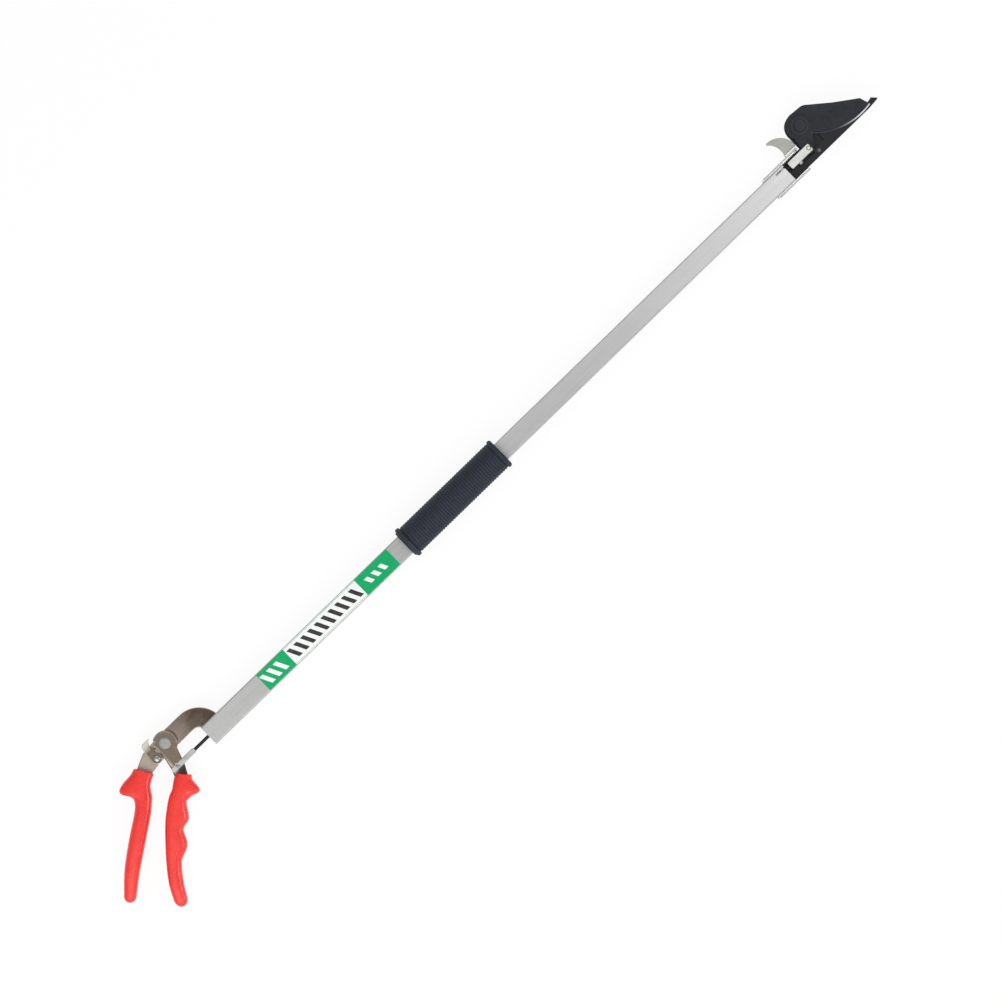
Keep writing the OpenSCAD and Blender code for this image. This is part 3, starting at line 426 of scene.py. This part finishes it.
def label_film():
    """Printed film: green ends, a white panel with a thin line along each edge, and slanting bars."""
    finish = Finish("label_film", specular=0.15)
    axes = finish.axes()
    aside = finish.math("ABSOLUTE", axes["Y"])
    panel = finish.within(axes["X"], *LABEL_PANEL)
    slanted = finish.math("ADD", axes["X"], finish.math("MULTIPLY", axes["Y"], BAR_SLANT))
    count = finish.math("DIVIDE", finish.math("SUBTRACT", slanted, BAR_START), BAR_PITCH)
    bars = 0.0
    for first, end, half in BAR_GROUPS:
        inside = finish.math("LESS_THAN", aside, half)
        group = finish.math("MULTIPLY", finish.within(count, first, end), inside)
        bars = finish.math("ADD", group, bars)
    bars = finish.math("MULTIPLY", bars, finish.math("LESS_THAN", finish.math("FRACT", count), BAR_SHARE))
    ink = finish.noise(320.0, detail=4.0)
    green = finish.ramp(ink, between((0.004, 0.335, 0.112), (0.008, 0.375, 0.132)))
    white = finish.ramp(ink, between((0.76, 0.78, 0.765), (0.84, 0.86, 0.845)))
    grey = finish.ramp(ink, between((0.03, 0.028, 0.03), (0.055, 0.05, 0.054)))
    lined = finish.mix(finish.within(aside, *LABEL_EDGE_LINE), white, (0.3, 0.5, 0.38))
    finish.colour(finish.mix(panel, finish.mix(bars, green, white), finish.mix(bars, lined, grey)))
    finish.roughness(finish.span(ink, 0.28, 0.4))
    finish.bump(finish.noise(500.0, detail=2.0), distance=0.03 * MM, strength=0.4)
    return finish.material


# The cutting edge is an arc about its centre, ground from a place along the blade, with a painted highlight
# that grows along a run towards the tip

BLADE_EDGE_CENTRE = (820.6, 56.8)
BLADE_EDGE_R = 64.8
GROUND_WIDTH = 1.1
GROUND_WANDER = 0.4
GROUND_START = 775.5
TIP_HIGHLIGHT_RUN = (795.5, 820.5)


def blade_steel():
    """Dark coating, ground bright along the cutting edge, with a painted highlight that makes it brightest
    towards the tip.
    """
    finish = Finish("coated_blade", specular=0.2)
    axes = finish.axes()
    scratch = finish.noise(400.0, detail=4.0)
    along = finish.math("SUBTRACT", axes["X"], BLADE_EDGE_CENTRE[0])
    across = finish.math("SUBTRACT", axes["Y"], BLADE_EDGE_CENTRE[1])
    wander = finish.math("MULTIPLY", scratch, GROUND_WANDER)
    reach = finish.math("ADD", finish.distance(along, across), wander)
    outer = finish.math("GREATER_THAN", reach, BLADE_EDGE_R - GROUND_WIDTH)
    ground = finish.math("MULTIPLY", outer, finish.math("GREATER_THAN", axes["X"], GROUND_START))
    clouds = finish.noise(60.0, detail=5.0)
    coat = finish.ramp(clouds, between((0.008, 0.009, 0.0135), (0.017, 0.019, 0.027)))
    # Painted highlight: the ground steel runs from dark at the start of this run to pale at its end.
    tip_highlight = finish.span(axes["X"], 0.0, 1.0, *TIP_HIGHLIGHT_RUN)
    steel = finish.mix(tip_highlight, (0.09, 0.093, 0.105), (0.72, 0.73, 0.76))
    finish.colour(finish.mix(ground, coat, steel))
    finish.link(ground, finish.shader.inputs["Metallic"])
    finish.roughness(finish.span(scratch, 0.36, 0.52))
    finish.bump(finish.noise(1100.0, stretch=(0.3, 1.0, 1.0)), distance=0.04 * MM, strength=0.5)
    return finish.material


# Painted reflection along the arm: paler at its left end, darker towards its right end.
ARM_PAINTED_REFLECTION = ("X", -62.0, 14.0, 0.24)
# Painted highlight along the lever's left edge, with the plate darker to the right of it.
LEVER_PAINTED_HIGHLIGHT = ("X", -44.5, -40.5, 0.26)
# Painted shade on the lever below the clevis, on the plate and on its rounded edges.
LEVER_PAINTED_SHADE = ("Y", -1.5, -4.5)
# Painted highlight on the top of the latch, darker lower down.
LATCH_PAINTED_HIGHLIGHT = ("Y", 33.0, 27.0, 0.2)
# The lower tube is painted darker and the upper paler: partly their own anodised tones, partly painted light
# for the brighter light near the head.
LOWER_TUBE = drawn_aluminium("anodised_lower_tube", (0.37, 0.37, 0.365), (0.47, 0.47, 0.465))
UPPER_TUBE = drawn_aluminium("anodised_upper_tube", (0.42, 0.42, 0.425), (0.53, 0.53, 0.535))
NICKEL = plated_steel("warm_nickel", (0.1, 0.074, 0.057), (0.37, 0.305, 0.255), painted_light=ARM_PAINTED_REFLECTION)
# Rounded edges of the arm painted paler than its faces: edge wear and a painted highlight.
NICKEL_EDGE_WEAR_AND_HIGHLIGHT = plated_steel("warm_nickel_edge_wear_and_highlight", (0.2, 0.165, 0.135), (0.36, 0.31, 0.265), (0.2, 0.34))
LEVER = plated_steel("lever_nickel", (0.215, 0.168, 0.125), (0.56, 0.49, 0.42),
                     painted_light=LEVER_PAINTED_HIGHLIGHT, painted_shade=LEVER_PAINTED_SHADE)
LEVER_EDGE = plated_steel("lever_nickel_edge", (0.22, 0.18, 0.14), (0.4, 0.345, 0.29), (0.2, 0.34),
                          painted_shade=LEVER_PAINTED_SHADE)
LATCH_ZINC = plated_steel("latch_zinc", (0.17, 0.14, 0.095), (0.56, 0.51, 0.45), painted_light=LATCH_PAINTED_HIGHLIGHT)
# Rounded edges of the latch painted much paler than its faces: edge wear and a painted highlight.
LATCH_EDGE_WEAR_AND_HIGHLIGHT = plated_steel("latch_zinc_edge_wear_and_highlight", (0.46, 0.42, 0.36), (0.64, 0.6, 0.53), (0.2, 0.34))
ZINC = plated_steel("bright_zinc", (0.235, 0.245, 0.24), (0.4, 0.415, 0.405), (0.2, 0.36))
LINK = plated_steel("plated_link", (0.31, 0.315, 0.3), (0.57, 0.58, 0.56), (0.3, 0.46))
SHEET = plated_steel("bracket_sheet", (0.84, 0.84, 0.83), (0.93, 0.93, 0.92), (0.26, 0.42), metallic=0.35)
SHEARED = plated_steel("bracket_sheared_edge", (0.3, 0.3, 0.29), (0.4, 0.4, 0.39), (0.34, 0.48))
RIVET_STEEL = plated_steel("dark_rivet_steel", (0.05, 0.05, 0.052), (0.12, 0.12, 0.122), (0.3, 0.46))
HOOK_GREY = painted("hook_grey", (0.3, 0.3, 0.28), (0.39, 0.39, 0.365), (0.34, 0.5), specular=0.4)
OXIDE = painted("black_oxide", (0.007, 0.0075, 0.0105), (0.015, 0.0165, 0.0215), (0.32, 0.48), specular=0.25)
# Paler rounded edges of the blade bolt and washer: edge wear and a painted highlight.
OXIDE_EDGE_WEAR_AND_HIGHLIGHT = painted("oxide_edge_wear_and_highlight", (0.035, 0.036, 0.042), (0.06, 0.062, 0.07), (0.3, 0.42), specular=0.3)
COUNTER = painted("counter_blade", (0.006, 0.0065, 0.008), (0.014, 0.0145, 0.017), (0.38, 0.54), 900.0, 0.2)
COUNTER_EDGE = painted("counter_edge", (0.02, 0.021, 0.024), (0.04, 0.042, 0.046), (0.3, 0.44), 900.0, 0.3)
NYLON = painted("guide_nylon", (0.03, 0.031, 0.034), (0.05, 0.052, 0.056), (0.45, 0.6))
VINYL = vinyl()
RUBBER = rubber()
LABEL = label_film()
BLADE = blade_steel()


# Pieces

BODIES = {node: body for body, nodes in frame["record"]["behaviour"]["bodies"].items() for node in nodes}
SHARP = math.radians(32)
FLAT = math.radians(0.6)
MERGE = 2e-6


def add_piece(name, work, materials, node, sharp=SHARP, ride=True, replace=True):
    """A smooth piece from a bmesh that goes with a CAD node and takes its body and its place."""
    mesh = bpy.data.meshes.new(name)
    work.to_mesh(mesh)
    work.free()
    for material in materials:
        mesh.materials.append(material)
    mesh.shade_smooth()
    mesh.set_sharp_from_angle(angle=sharp)
    piece = bpy.data.objects.new(name, mesh)
    bpy.context.scene.collection.objects.link(piece)
    if ride:
        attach(piece, BODIES[node])
    if replace:
        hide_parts(node)
    return piece


def dress(node, material):
    """A CAD node keeps its shape and gets a material."""
    mesh = frame["nodes"][node].data
    mesh.materials.clear()
    mesh.materials.append(material)


def eased(node, material, width, segments=2, edge=None, pick=None, keep=None):
    """A copy of a CAD node with its sharp edges rounded by so many millimetres.
    The edge material goes on the faces that pick chooses, or on the rounded edges if there is no pick.
    Edges inside the circles of keep (x, y, radius) stay as they are. With keep, even an empty one, the
    rounding has its full width at tight corners too."""
    work = bmesh.new()
    work.from_mesh(frame["nodes"][node].data)
    bmesh.ops.remove_doubles(work, verts=work.verts, dist=MERGE)
    bmesh.ops.dissolve_limit(work, angle_limit=FLAT, verts=work.verts, edges=work.edges)
    for face in work.faces:
        face.material_index = 1 if pick and pick(face.calc_center_median()) else 0
    sharp = [e for e in work.edges if len(e.link_faces) == 2 and e.calc_face_angle(0.0) > SHARP]
    for x, y, radius in keep or []:
        sharp = [e for e in sharp if ((e.verts[0].co + e.verts[1].co) / 2 - at(x, y)).xy.length > radius * MM]
    bmesh.ops.bevel(work, geom=sharp, offset=width * MM, segments=segments, profile=0.5, affect="EDGES",
                    clamp_overlap=keep is None, material=1 if edge and not pick else -1)
    piece = add_piece(node + "_eased", work, [material, edge] if edge else [material], node)
    weighted = piece.modifiers.new("flat_faces", "WEIGHTED_NORMAL")
    weighted.keep_sharp = True


def turn(work, profile, sides, place, shape=None):
    """Rings of (along, radius) about an axis: place(along, across, up) gives each point.
    A radius of nought closes the form, and shape(radius, cosine, sine) may change a ring's outline."""
    loops = []
    for along, radius in profile:
        if radius == 0.0:
            loops.append([work.verts.new(place(along, 0.0, 0.0))] * sides)
            continue
        loop = []
        for k in range(sides):
            c = math.cos(2 * math.pi * k / sides)
            s = math.sin(2 * math.pi * k / sides)
            r = shape(radius, c, s) if shape else radius
            loop.append(work.verts.new(place(along, r * c, r * s)))
        loops.append(loop)
    for first, second in zip(loops, loops[1:]):
        for k in range(sides):
            n = (k + 1) % sides
            corners = dict.fromkeys((first[k], first[n], second[n], second[k]))
            work.faces.new(corners)
    bmesh.ops.recalc_face_normals(work, faces=work.faces)


def loft(work, loops):
    """Faces between loops of as many points each, with both ends closed."""
    sides = len(loops[0])
    for first, second in zip(loops, loops[1:]):
        for k in range(sides):
            n = (k + 1) % sides
            work.faces.new((first[k], second[k], second[n], first[n]))
    work.faces.new(loops[0])
    work.faces.new(loops[-1][::-1])
    bmesh.ops.recalc_face_normals(work, faces=work.faces)


# Tubes, plates and fasteners that keep the CAD shape, with eased edges

LEVER_TOOTH = (-40.6, 28.6, 5.6)
LEVER_CORNER = (-28.0, 13.0, 3.0)
LATCH_NOTCH = (-45.2, 26.0, 4.0)
LATCH_TIP = (-41.5, 36.2, 3.0)
LATCH_HEEL = (-43.4, 18.4, 2.2)
ARM_KEEP = [(*HANDLE_PIVOT, 9.6)]
LEVER_KEEP = [LEVER_TOOTH, LEVER_CORNER, (*HANDLE_PIVOT, 5.5), (*CLEVIS_PIN, 4.5)]
LATCH_KEEP = [LATCH_NOTCH, LATCH_TIP, LATCH_HEEL, (*LATCH_PIVOT, 2.6)]
CLEVIS_KEEP = [(*CLEVIS_PIN, 2.3)]
SHEARED_DEPTH = 0.5
SHEARED_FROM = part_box("head_bracket")[1].z - SHEARED_DEPTH * MM
HOOK_FOOT = at(0, 13.45).y

eased("lower_pole", LOWER_TUBE, 0.15)
eased("upper_pole", UPPER_TUBE, 0.15)
dress("label", LABEL)
for guide in ("lower_guide", "middle_guide", "upper_guide"):
    eased(guide, NYLON, 0.4)
for fastener in ("pole_rivets", "spring_collar", "pivot_washer"):
    dress(fastener, ZINC)
dress("pull_rod", OXIDE)
eased("fixed_arm", NICKEL, 0.8, 4, NICKEL_EDGE_WEAR_AND_HIGHLIGHT, keep=ARM_KEEP)
eased("lever_plate", LEVER, 1.6, 6, LEVER_EDGE, keep=LEVER_KEEP)
eased("lock_latch", LATCH_ZINC, 0.5, 3, LATCH_EDGE_WEAR_AND_HIGHLIGHT, keep=LATCH_KEEP)
eased("pivot_bolt", ZINC, 0.3)
eased("pivot_nut", ZINC, 0.3)
eased("clevis_pin", ZINC, 0.4)
eased("fork_pin", LINK, 0.4)
eased("blade_bolt", OXIDE, 0.3, edge=OXIDE_EDGE_WEAR_AND_HIGHLIGHT)
eased("blade_nut", OXIDE, 0.3)
eased("blade_washer", OXIDE, 0.3, edge=OXIDE_EDGE_WEAR_AND_HIGHLIGHT)
eased("rod_clevis", LINK, 0.5, 3, keep=CLEVIS_KEEP)
eased("rod_fork", LINK, 0.6, 3, keep=[])
eased("fixed_blade", COUNTER, 0.3, edge=COUNTER_EDGE)
eased("cutting_blade", BLADE, 0.12, 1)
eased("head_bracket", SHEET, 0.25, edge=SHEARED, pick=lambda middle: middle.z > SHEARED_FROM)
eased("branch_hook", HOOK_GREY, 0.6, 3, edge=SHEET, pick=lambda middle: middle.y < HOOK_FOOT, keep=[])


# Rivets with domed heads, peened flat at the other end in steps of (drop, inset)

ARM_RIVETS = [(29.9, 0.0), (54.9, 0.0)]
BRACKET_RIVETS = [(719.0, -4.85), (729.8, -4.85), (769.6, -4.85)]
RIVET_SIDES = 32
PEEN = [(0.25, 0.0), (0.07, 0.07), (0.0, 0.3)]


def dome(seat, radius, height):
    """Rings of a round head from its seat to its crown."""
    return [(seat + height * s, radius * c) for c, s in arc(0, 80, 7)] + [(seat + height, 0.0)]


def rivet_profile(node, radius, head_r, head_h, front_r=None, front_h=0.0):
    """A shank with a domed head at the back and, at the front, a second head or a peened end."""
    low, high = (from_mouth(corner).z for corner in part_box(node))
    back = [(-z, r) for z, r in dome(-(low + head_h), head_r, head_h)][::-1]
    if front_r:
        front = [(high - front_h, radius)] + dome(high - front_h, front_r, front_h)
    else:
        front = [(high - drop, radius - inset) for drop, inset in PEEN] + [(high, 0.0)]
    return back + [(low + head_h, radius)] + front


def add_rivets(node, places, material, **sizes):
    profile = rivet_profile(node, **sizes)
    work = bmesh.new()
    for x, y in places:
        turn(work, profile, RIVET_SIDES, lambda along, across, up: at(x + across, y + up, along))
    add_piece(node + "_domed", work, [material], node)


add_rivets("arm_rivets", ARM_RIVETS, ZINC, radius=2.0, head_r=3.3, head_h=1.4)
add_rivets("bracket_rivets", BRACKET_RIVETS, RIVET_STEEL, radius=1.9, head_r=3.1, head_h=1.2)
add_rivets("latch_rivet", [LATCH_PIVOT], ZINC, radius=2.0, head_r=3.3, head_h=1.2, front_r=3.2, front_h=1.2)


# Return spring, one wire round the rod, held by the guide at one end and by the collar at the other

ROD_START = at(*CLEVIS_PIN)
ROD_AXIS = Vector(JOINTS["rod_slide"]["axis"])
SPRING_RUN = (132.0, 171.0)
SPRING_R = 3.4
SPRING_WIRE_R = 0.4
SPRING_TURNS = 14
WIRE_SIDES = 10
RINGS_PER_TURN = 24


def on_rod(along, across, up):
    """A place in millimetres along the rod, across it and out of the front."""
    side = Vector((-ROD_AXIS.y, ROD_AXIS.x, 0.0))
    return ROD_START + MM * (along * ROD_AXIS + across * side + up * Vector((0.0, 0.0, 1.0)))


def add_spring():
    work = bmesh.new()
    loops = []
    rings = SPRING_TURNS * RINGS_PER_TURN
    for i in range(rings + 1):
        angle = 2 * math.pi * i / RINGS_PER_TURN
        along = SPRING_RUN[0] + (SPRING_RUN[1] - SPRING_RUN[0]) * i / rings
        loop = []
        for k in range(WIRE_SIDES):
            around = 2 * math.pi * k / WIRE_SIDES
            radius = SPRING_R + SPRING_WIRE_R * math.cos(around)
            lift = SPRING_WIRE_R * math.sin(around)
            place = on_rod(along + lift, radius * math.cos(angle), radius * math.sin(angle))
            loop.append(work.verts.new(place))
        loops.append(loop)
    loft(work, loops)
    spring = add_piece("return_spring_wire", work, [ZINC], "return_spring", ride=False)
    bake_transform(spring)


add_spring()


# Clamp screw of the fork, with a hexagon socket in its head

SCREW_PLACE = 789.41
SCREW_END = 1.62
SCREW_SEAT = 3.9
SCREW_R = 1.3
SCREW_HEAD_R = 2.7
SCREW_HEAD_H = 2.2
SCREW_ROUND = 0.7
SCREW_SIDES = 48
SOCKET_R = 1.45
SOCKET_DEPTH = 1.3
SOCKET_POINT = 0.3


def hexagon(radius, c, s):
    """Distance to the side of the socket for its rings, and the plain radius for the others."""
    if radius != SOCKET_R:
        return radius
    corner = math.radians(30)
    turned = math.atan2(s, c) % (2 * corner) - corner
    return radius / math.cos(turned)


def add_screw():
    top = SCREW_SEAT + SCREW_HEAD_H
    floor = top - SOCKET_DEPTH
    flat = SCREW_HEAD_R - SCREW_ROUND
    profile = [(SCREW_END, 0.0), (SCREW_END, SCREW_R), (SCREW_SEAT, SCREW_R), (SCREW_SEAT, SCREW_HEAD_R)]
    profile += [(top - SCREW_ROUND * (1 - s), flat + SCREW_ROUND * c) for c, s in arc(0, 90, 5)]
    profile += [(top, SOCKET_R), (floor, SOCKET_R), (floor - SOCKET_POINT, 0.0)]
    work = bmesh.new()
    turn(work, profile, SCREW_SIDES,
         lambda along, across, up: on_rod(SCREW_PLACE + across, -along, up), hexagon)
    add_piece("fork_screw_socket", work, [ZINC], "fork_screw")


add_screw()


# Weld beads between the hook and its foot

WELD_RUN = (745.2, 756.0)
WELD_Y = 13.4
WELD_LEVELS = (-1.5, 1.5)
WELD_R = 0.75
WELD_END = 0.5
WELD_TAPER = 0.35
RIPPLES = 14
RIPPLE_H = 0.09
RIPPLE_STEPS = 4
WELD_SIDES = 12
WELD_SHARP = math.radians(80)


def add_welds():
    start, end = WELD_RUN
    steps = RIPPLES * RIPPLE_STEPS
    profile = [(start - WELD_END, 0.0)]
    for i in range(steps + 1):
        t = i / steps
        swell = RIPPLE_H * math.sin(2 * math.pi * RIPPLES * t) - WELD_TAPER * abs(2 * t - 1) ** 6
        profile.append((start + (end - start) * t, WELD_R + swell))
    profile.append((end + WELD_END, 0.0))
    work = bmesh.new()
    for z in WELD_LEVELS:
        turn(work, profile, WELD_SIDES, lambda along, across, up: at(along, WELD_Y + across, z + up))
    add_piece("hook_welds", work, [HOOK_GREY], "branch_hook", WELD_SHARP, replace=False)


add_welds()


# Packing strips that take up the play between the upper tube and the cheeks of the bracket

STRIP_RUN = (713.4, 751.8)
STRIP_SIDES = (9.33, 10.37)
STRIP_LEVELS = (-5.2, 3.7)
STRIP_ROUND = 0.4


def add_strips():
    work = bmesh.new()
    for side in (-1, 1):
        low, high = sorted(side * edge for edge in STRIP_SIDES)
        made = bmesh.ops.create_cube(work, size=1.0)["verts"]
        for vertex in made:
            x = STRIP_RUN[0] if vertex.co.x < 0 else STRIP_RUN[1]
            y = low if vertex.co.y < 0 else high
            z = STRIP_LEVELS[0] if vertex.co.z < 0 else STRIP_LEVELS[1]
            vertex.co = at(x, y, z)
    edges = work.edges[:]
    bmesh.ops.bevel(work, geom=edges, offset=STRIP_ROUND * MM, segments=3, profile=0.5, affect="EDGES")
    add_piece("bracket_packing_strips", work, [SHEET], "head_bracket", replace=False)


add_strips()


# Grips, lofted through stations [x, y, half width on the left, half width on the right, half depth]

FIXED_GRIP = [
    [-66.1, 17.4, 9.3, 9.3, 7.4], [-68.9, 15.6, 8.9, 11, 7.8], [-75.1, 10, 7.5, 17.9, 8.4],
    [-79.5, 5.6, 8.3, 20.7, 8.6], [-81.8, 3.1, 8.9, 14.9, 8.6], [-84.4, 0.4, 9.1, 7.5, 8.6],
    [-92.6, -8.7, 7.5, 7.5, 8.8], [-114.1, -23.8, 7.5, 7.7, 8.8], [-136, -39.7, 7, 7, 8],
    [-153.4, -55.1, 5.65, 5.65, 6.5],
]
LEVER_GRIP = [
    [-41.5, -9.8, 7.5, 7.2, 7], [-44.2, -12, 8.7, 8.4, 7.6], [-50.3, -16.9, 16.2, 8.8, 8.2],
    [-54.3, -19.4, 10.2, 8.5, 8.3], [-61.2, -22.9, 7.9, 8.9, 8.4], [-73, -31.9, 12, 9.1, 8.6],
    [-81.5, -39.1, 8.2, 8.6, 8.6], [-91.3, -49.2, 11.7, 8.4, 8.4], [-102.5, -59.3, 7.7, 6.7, 8],
    [-115.3, -74.8, 7.7, 5.8, 7.4], [-121.6, -88, 6.3, 6.3, 6.4],
]
FIXED_GRIP_CAP = 6.0
LEVER_GRIP_CAP = 8.2
FIXED_GRIP_Z = -1.5
LEVER_GRIP_Z = 0.0
GRIP_SIDES = 64
GRIP_STEPS = 10
GRIP_MOUTH_SHARE = 0.6
GRIP_RIM = 1.2
GRIP_RIM_SHARE = 0.11
GRIP_SHARP = math.radians(50)
SECTION_POWER = 0.72
SEAM = 0.14
SEAM_FROM_SHARE = 0.9


def curve_through(stations):
    """Catmull-Rom values along the stations."""
    last = len(stations) - 1
    rows = []
    for i in range(last):
        a = stations[max(i - 1, 0)]
        b = stations[i]
        c = stations[i + 1]
        d = stations[min(i + 2, last)]
        for k in range(GRIP_STEPS):
            t = k / GRIP_STEPS
            row = []
            for p, q, r, s in zip(a, b, c, d):
                square = (2 * p - 5 * q + 4 * r - s) * t * t
                cube = (3 * q - p - 3 * r + s) * t ** 3
                row.append(0.5 * (2 * q + (r - p) * t + square + cube))
            rows.append(row)
    rows.append(stations[last])
    return rows


def grip_section(row, heading, z, shift, share):
    """One section of a grip, square to its heading, with a faint seam where the mould's halves met."""
    points = []
    for k in range(GRIP_SIDES):
        c = math.cos(2 * math.pi * k / GRIP_SIDES)
        s = math.sin(2 * math.pi * k / GRIP_SIDES)
        half = row[2] if c > 0 else row[3]
        seam = SEAM if k in (0, GRIP_SIDES // 2) and share > SEAM_FROM_SHARE else 0.0
        side = math.copysign(abs(c) ** SECTION_POWER, c) * (half * share + seam)
        rise = math.copysign(abs(s) ** SECTION_POWER, s) * row[4] * share
        x = row[0] + heading.x * shift - heading.y * side
        y = row[1] + heading.y * shift + heading.x * side
        points.append(at(x, y, z + rise))
    return points


def add_grip(name, stations, cap, z, node):
    rows = curve_through(stations)
    headings = []
    for i in range(len(rows)):
        a = rows[max(i - 1, 0)]
        b = rows[min(i + 1, len(rows) - 1)]
        headings.append(Vector((b[0] - a[0], b[1] - a[1])).normalized())
    rings = [(rows[0], headings[0], -GRIP_RIM, GRIP_MOUTH_SHARE)]
    rings += [(rows[0], headings[0], -GRIP_RIM * s, 1 - GRIP_RIM_SHARE * (1 - c)) for c, s in arc(90, 15, 5)]
    rings += [(row, heading, 0.0, 1.0) for row, heading in zip(rows, headings)]
    rings += [(rows[-1], headings[-1], cap * s, c) for c, s in arc(8, 84, 9)]
    work = bmesh.new()
    loops = []
    for row, heading, shift, share in rings:
        loops.append([work.verts.new(point) for point in grip_section(row, heading, z, shift, share)])
    loft(work, loops)
    add_piece(name, work, [VINYL], node, GRIP_SHARP)


add_grip("fixed_grip_skin", FIXED_GRIP, FIXED_GRIP_CAP, FIXED_GRIP_Z, "fixed_grip")
add_grip("lever_grip_skin", LEVER_GRIP, LEVER_GRIP_CAP, LEVER_GRIP_Z, "lever_grip")


# Rubber sleeve, turned about the pole, with ribs between a guard and a flange and a bore that fits both tubes

SLEEVE_START = from_mouth(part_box("grip_sleeve")[0]).x
SLEEVE_LENGTH = 121.2
SLEEVE_R = 14.7
GUARD_R = 16.1
GUARD_T = 5.8
GUARD_STEP = 1.2
GUARD_RISE = 2.2
GUARD_SWELL = 0.9
FLANGE_R = 15.7
FLANGE_T = 4.2
FLANGE_ROUND = 2.3
EDGE_ROUND = 1.0
GROOVE_EDGE = 0.1
RIB_H = 0.5
RIB_PITCH = 2.7
RIB_STEPS = 10
RIB_FULLNESS = 0.6
SLEEVE_SIDES = 96
SLEEVE_SHARP = math.radians(60)
BORE_GAP = 0.02
BORE_POWER = 14


def bore(node):
    """Half the width and half the depth of the bore that fits a tube."""
    low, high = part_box(node)
    half = (high - low) / (2 * MM)
    return half.y + BORE_GAP, half.z + BORE_GAP


def sleeve_profile():
    """Places along the sleeve with their radius, or with the half sizes of the bore."""
    lower_bore = bore("lower_pole")
    upper_bore = bore("upper_pole")
    tube_end = from_mouth(tube_high).x - SLEEVE_START
    foot = GUARD_R - GUARD_RISE - GUARD_STEP
    groove = SLEEVE_R - RIB_H
    back = SLEEVE_LENGTH - FLANGE_T
    profile = [(0.0, lower_bore), (0.0, foot)]
    profile += [(GUARD_STEP * (1 - c), foot + GUARD_STEP * s) for c, s in arc(30, 90, 2)]
    profile += [(2 * GUARD_STEP - GUARD_SWELL * c, GUARD_R - GUARD_RISE * (1 - s)) for c, s in arc(30, 90, 2)]
    profile += [(GUARD_T - EDGE_ROUND * (1 - s), GUARD_R - EDGE_ROUND * (1 - c)) for c, s in arc(0, 90, 4)]
    profile.append((GUARD_T + GROOVE_EDGE, groove))
    start = GUARD_T + RIB_PITCH / 2
    end = back - RIB_PITCH / 2
    ribs = round((end - start) / RIB_PITCH)
    for i in range(ribs):
        for k in range(RIB_STEPS):
            x = start + (end - start) * (i + k / RIB_STEPS) / ribs
            wave = 0.5 - 0.5 * math.cos(2 * math.pi * k / RIB_STEPS)
            profile.append((x, groove + RIB_H * wave ** RIB_FULLNESS))
    profile += [(end, groove), (back - GROOVE_EDGE, groove)]
    profile += [(back + EDGE_ROUND * (1 - c), FLANGE_R - EDGE_ROUND * (1 - s)) for c, s in arc(0, 90, 4)]
    for c, s in arc(0, 90, 6):
        profile.append((SLEEVE_LENGTH - FLANGE_ROUND * (1 - s), FLANGE_R - FLANGE_ROUND * (1 - c)))
    profile += [(SLEEVE_LENGTH, upper_bore), (tube_end, upper_bore)]
    profile += [(tube_end, lower_bore), (0.0, lower_bore)]
    return profile


def sleeve_ring(size, c, s):
    """A plain radius, or the distance to the rounded outline of the bore in one direction."""
    if not isinstance(size, tuple):
        return size
    return ((abs(c) / size[0]) ** BORE_POWER + (abs(s) / size[1]) ** BORE_POWER) ** (-1 / BORE_POWER)


def add_sleeve():
    work = bmesh.new()
    turn(work, sleeve_profile(), SLEEVE_SIDES,
         lambda along, across, up: at(SLEEVE_START + along, across, up), sleeve_ring)
    bmesh.ops.remove_doubles(work, verts=work.verts, dist=MERGE)
    bmesh.ops.recalc_face_normals(work, faces=work.faces)
    add_piece("grip_sleeve_rubber", work, [RUBBER], "grip_sleeve", SLEEVE_SHARP)


add_sleeve()
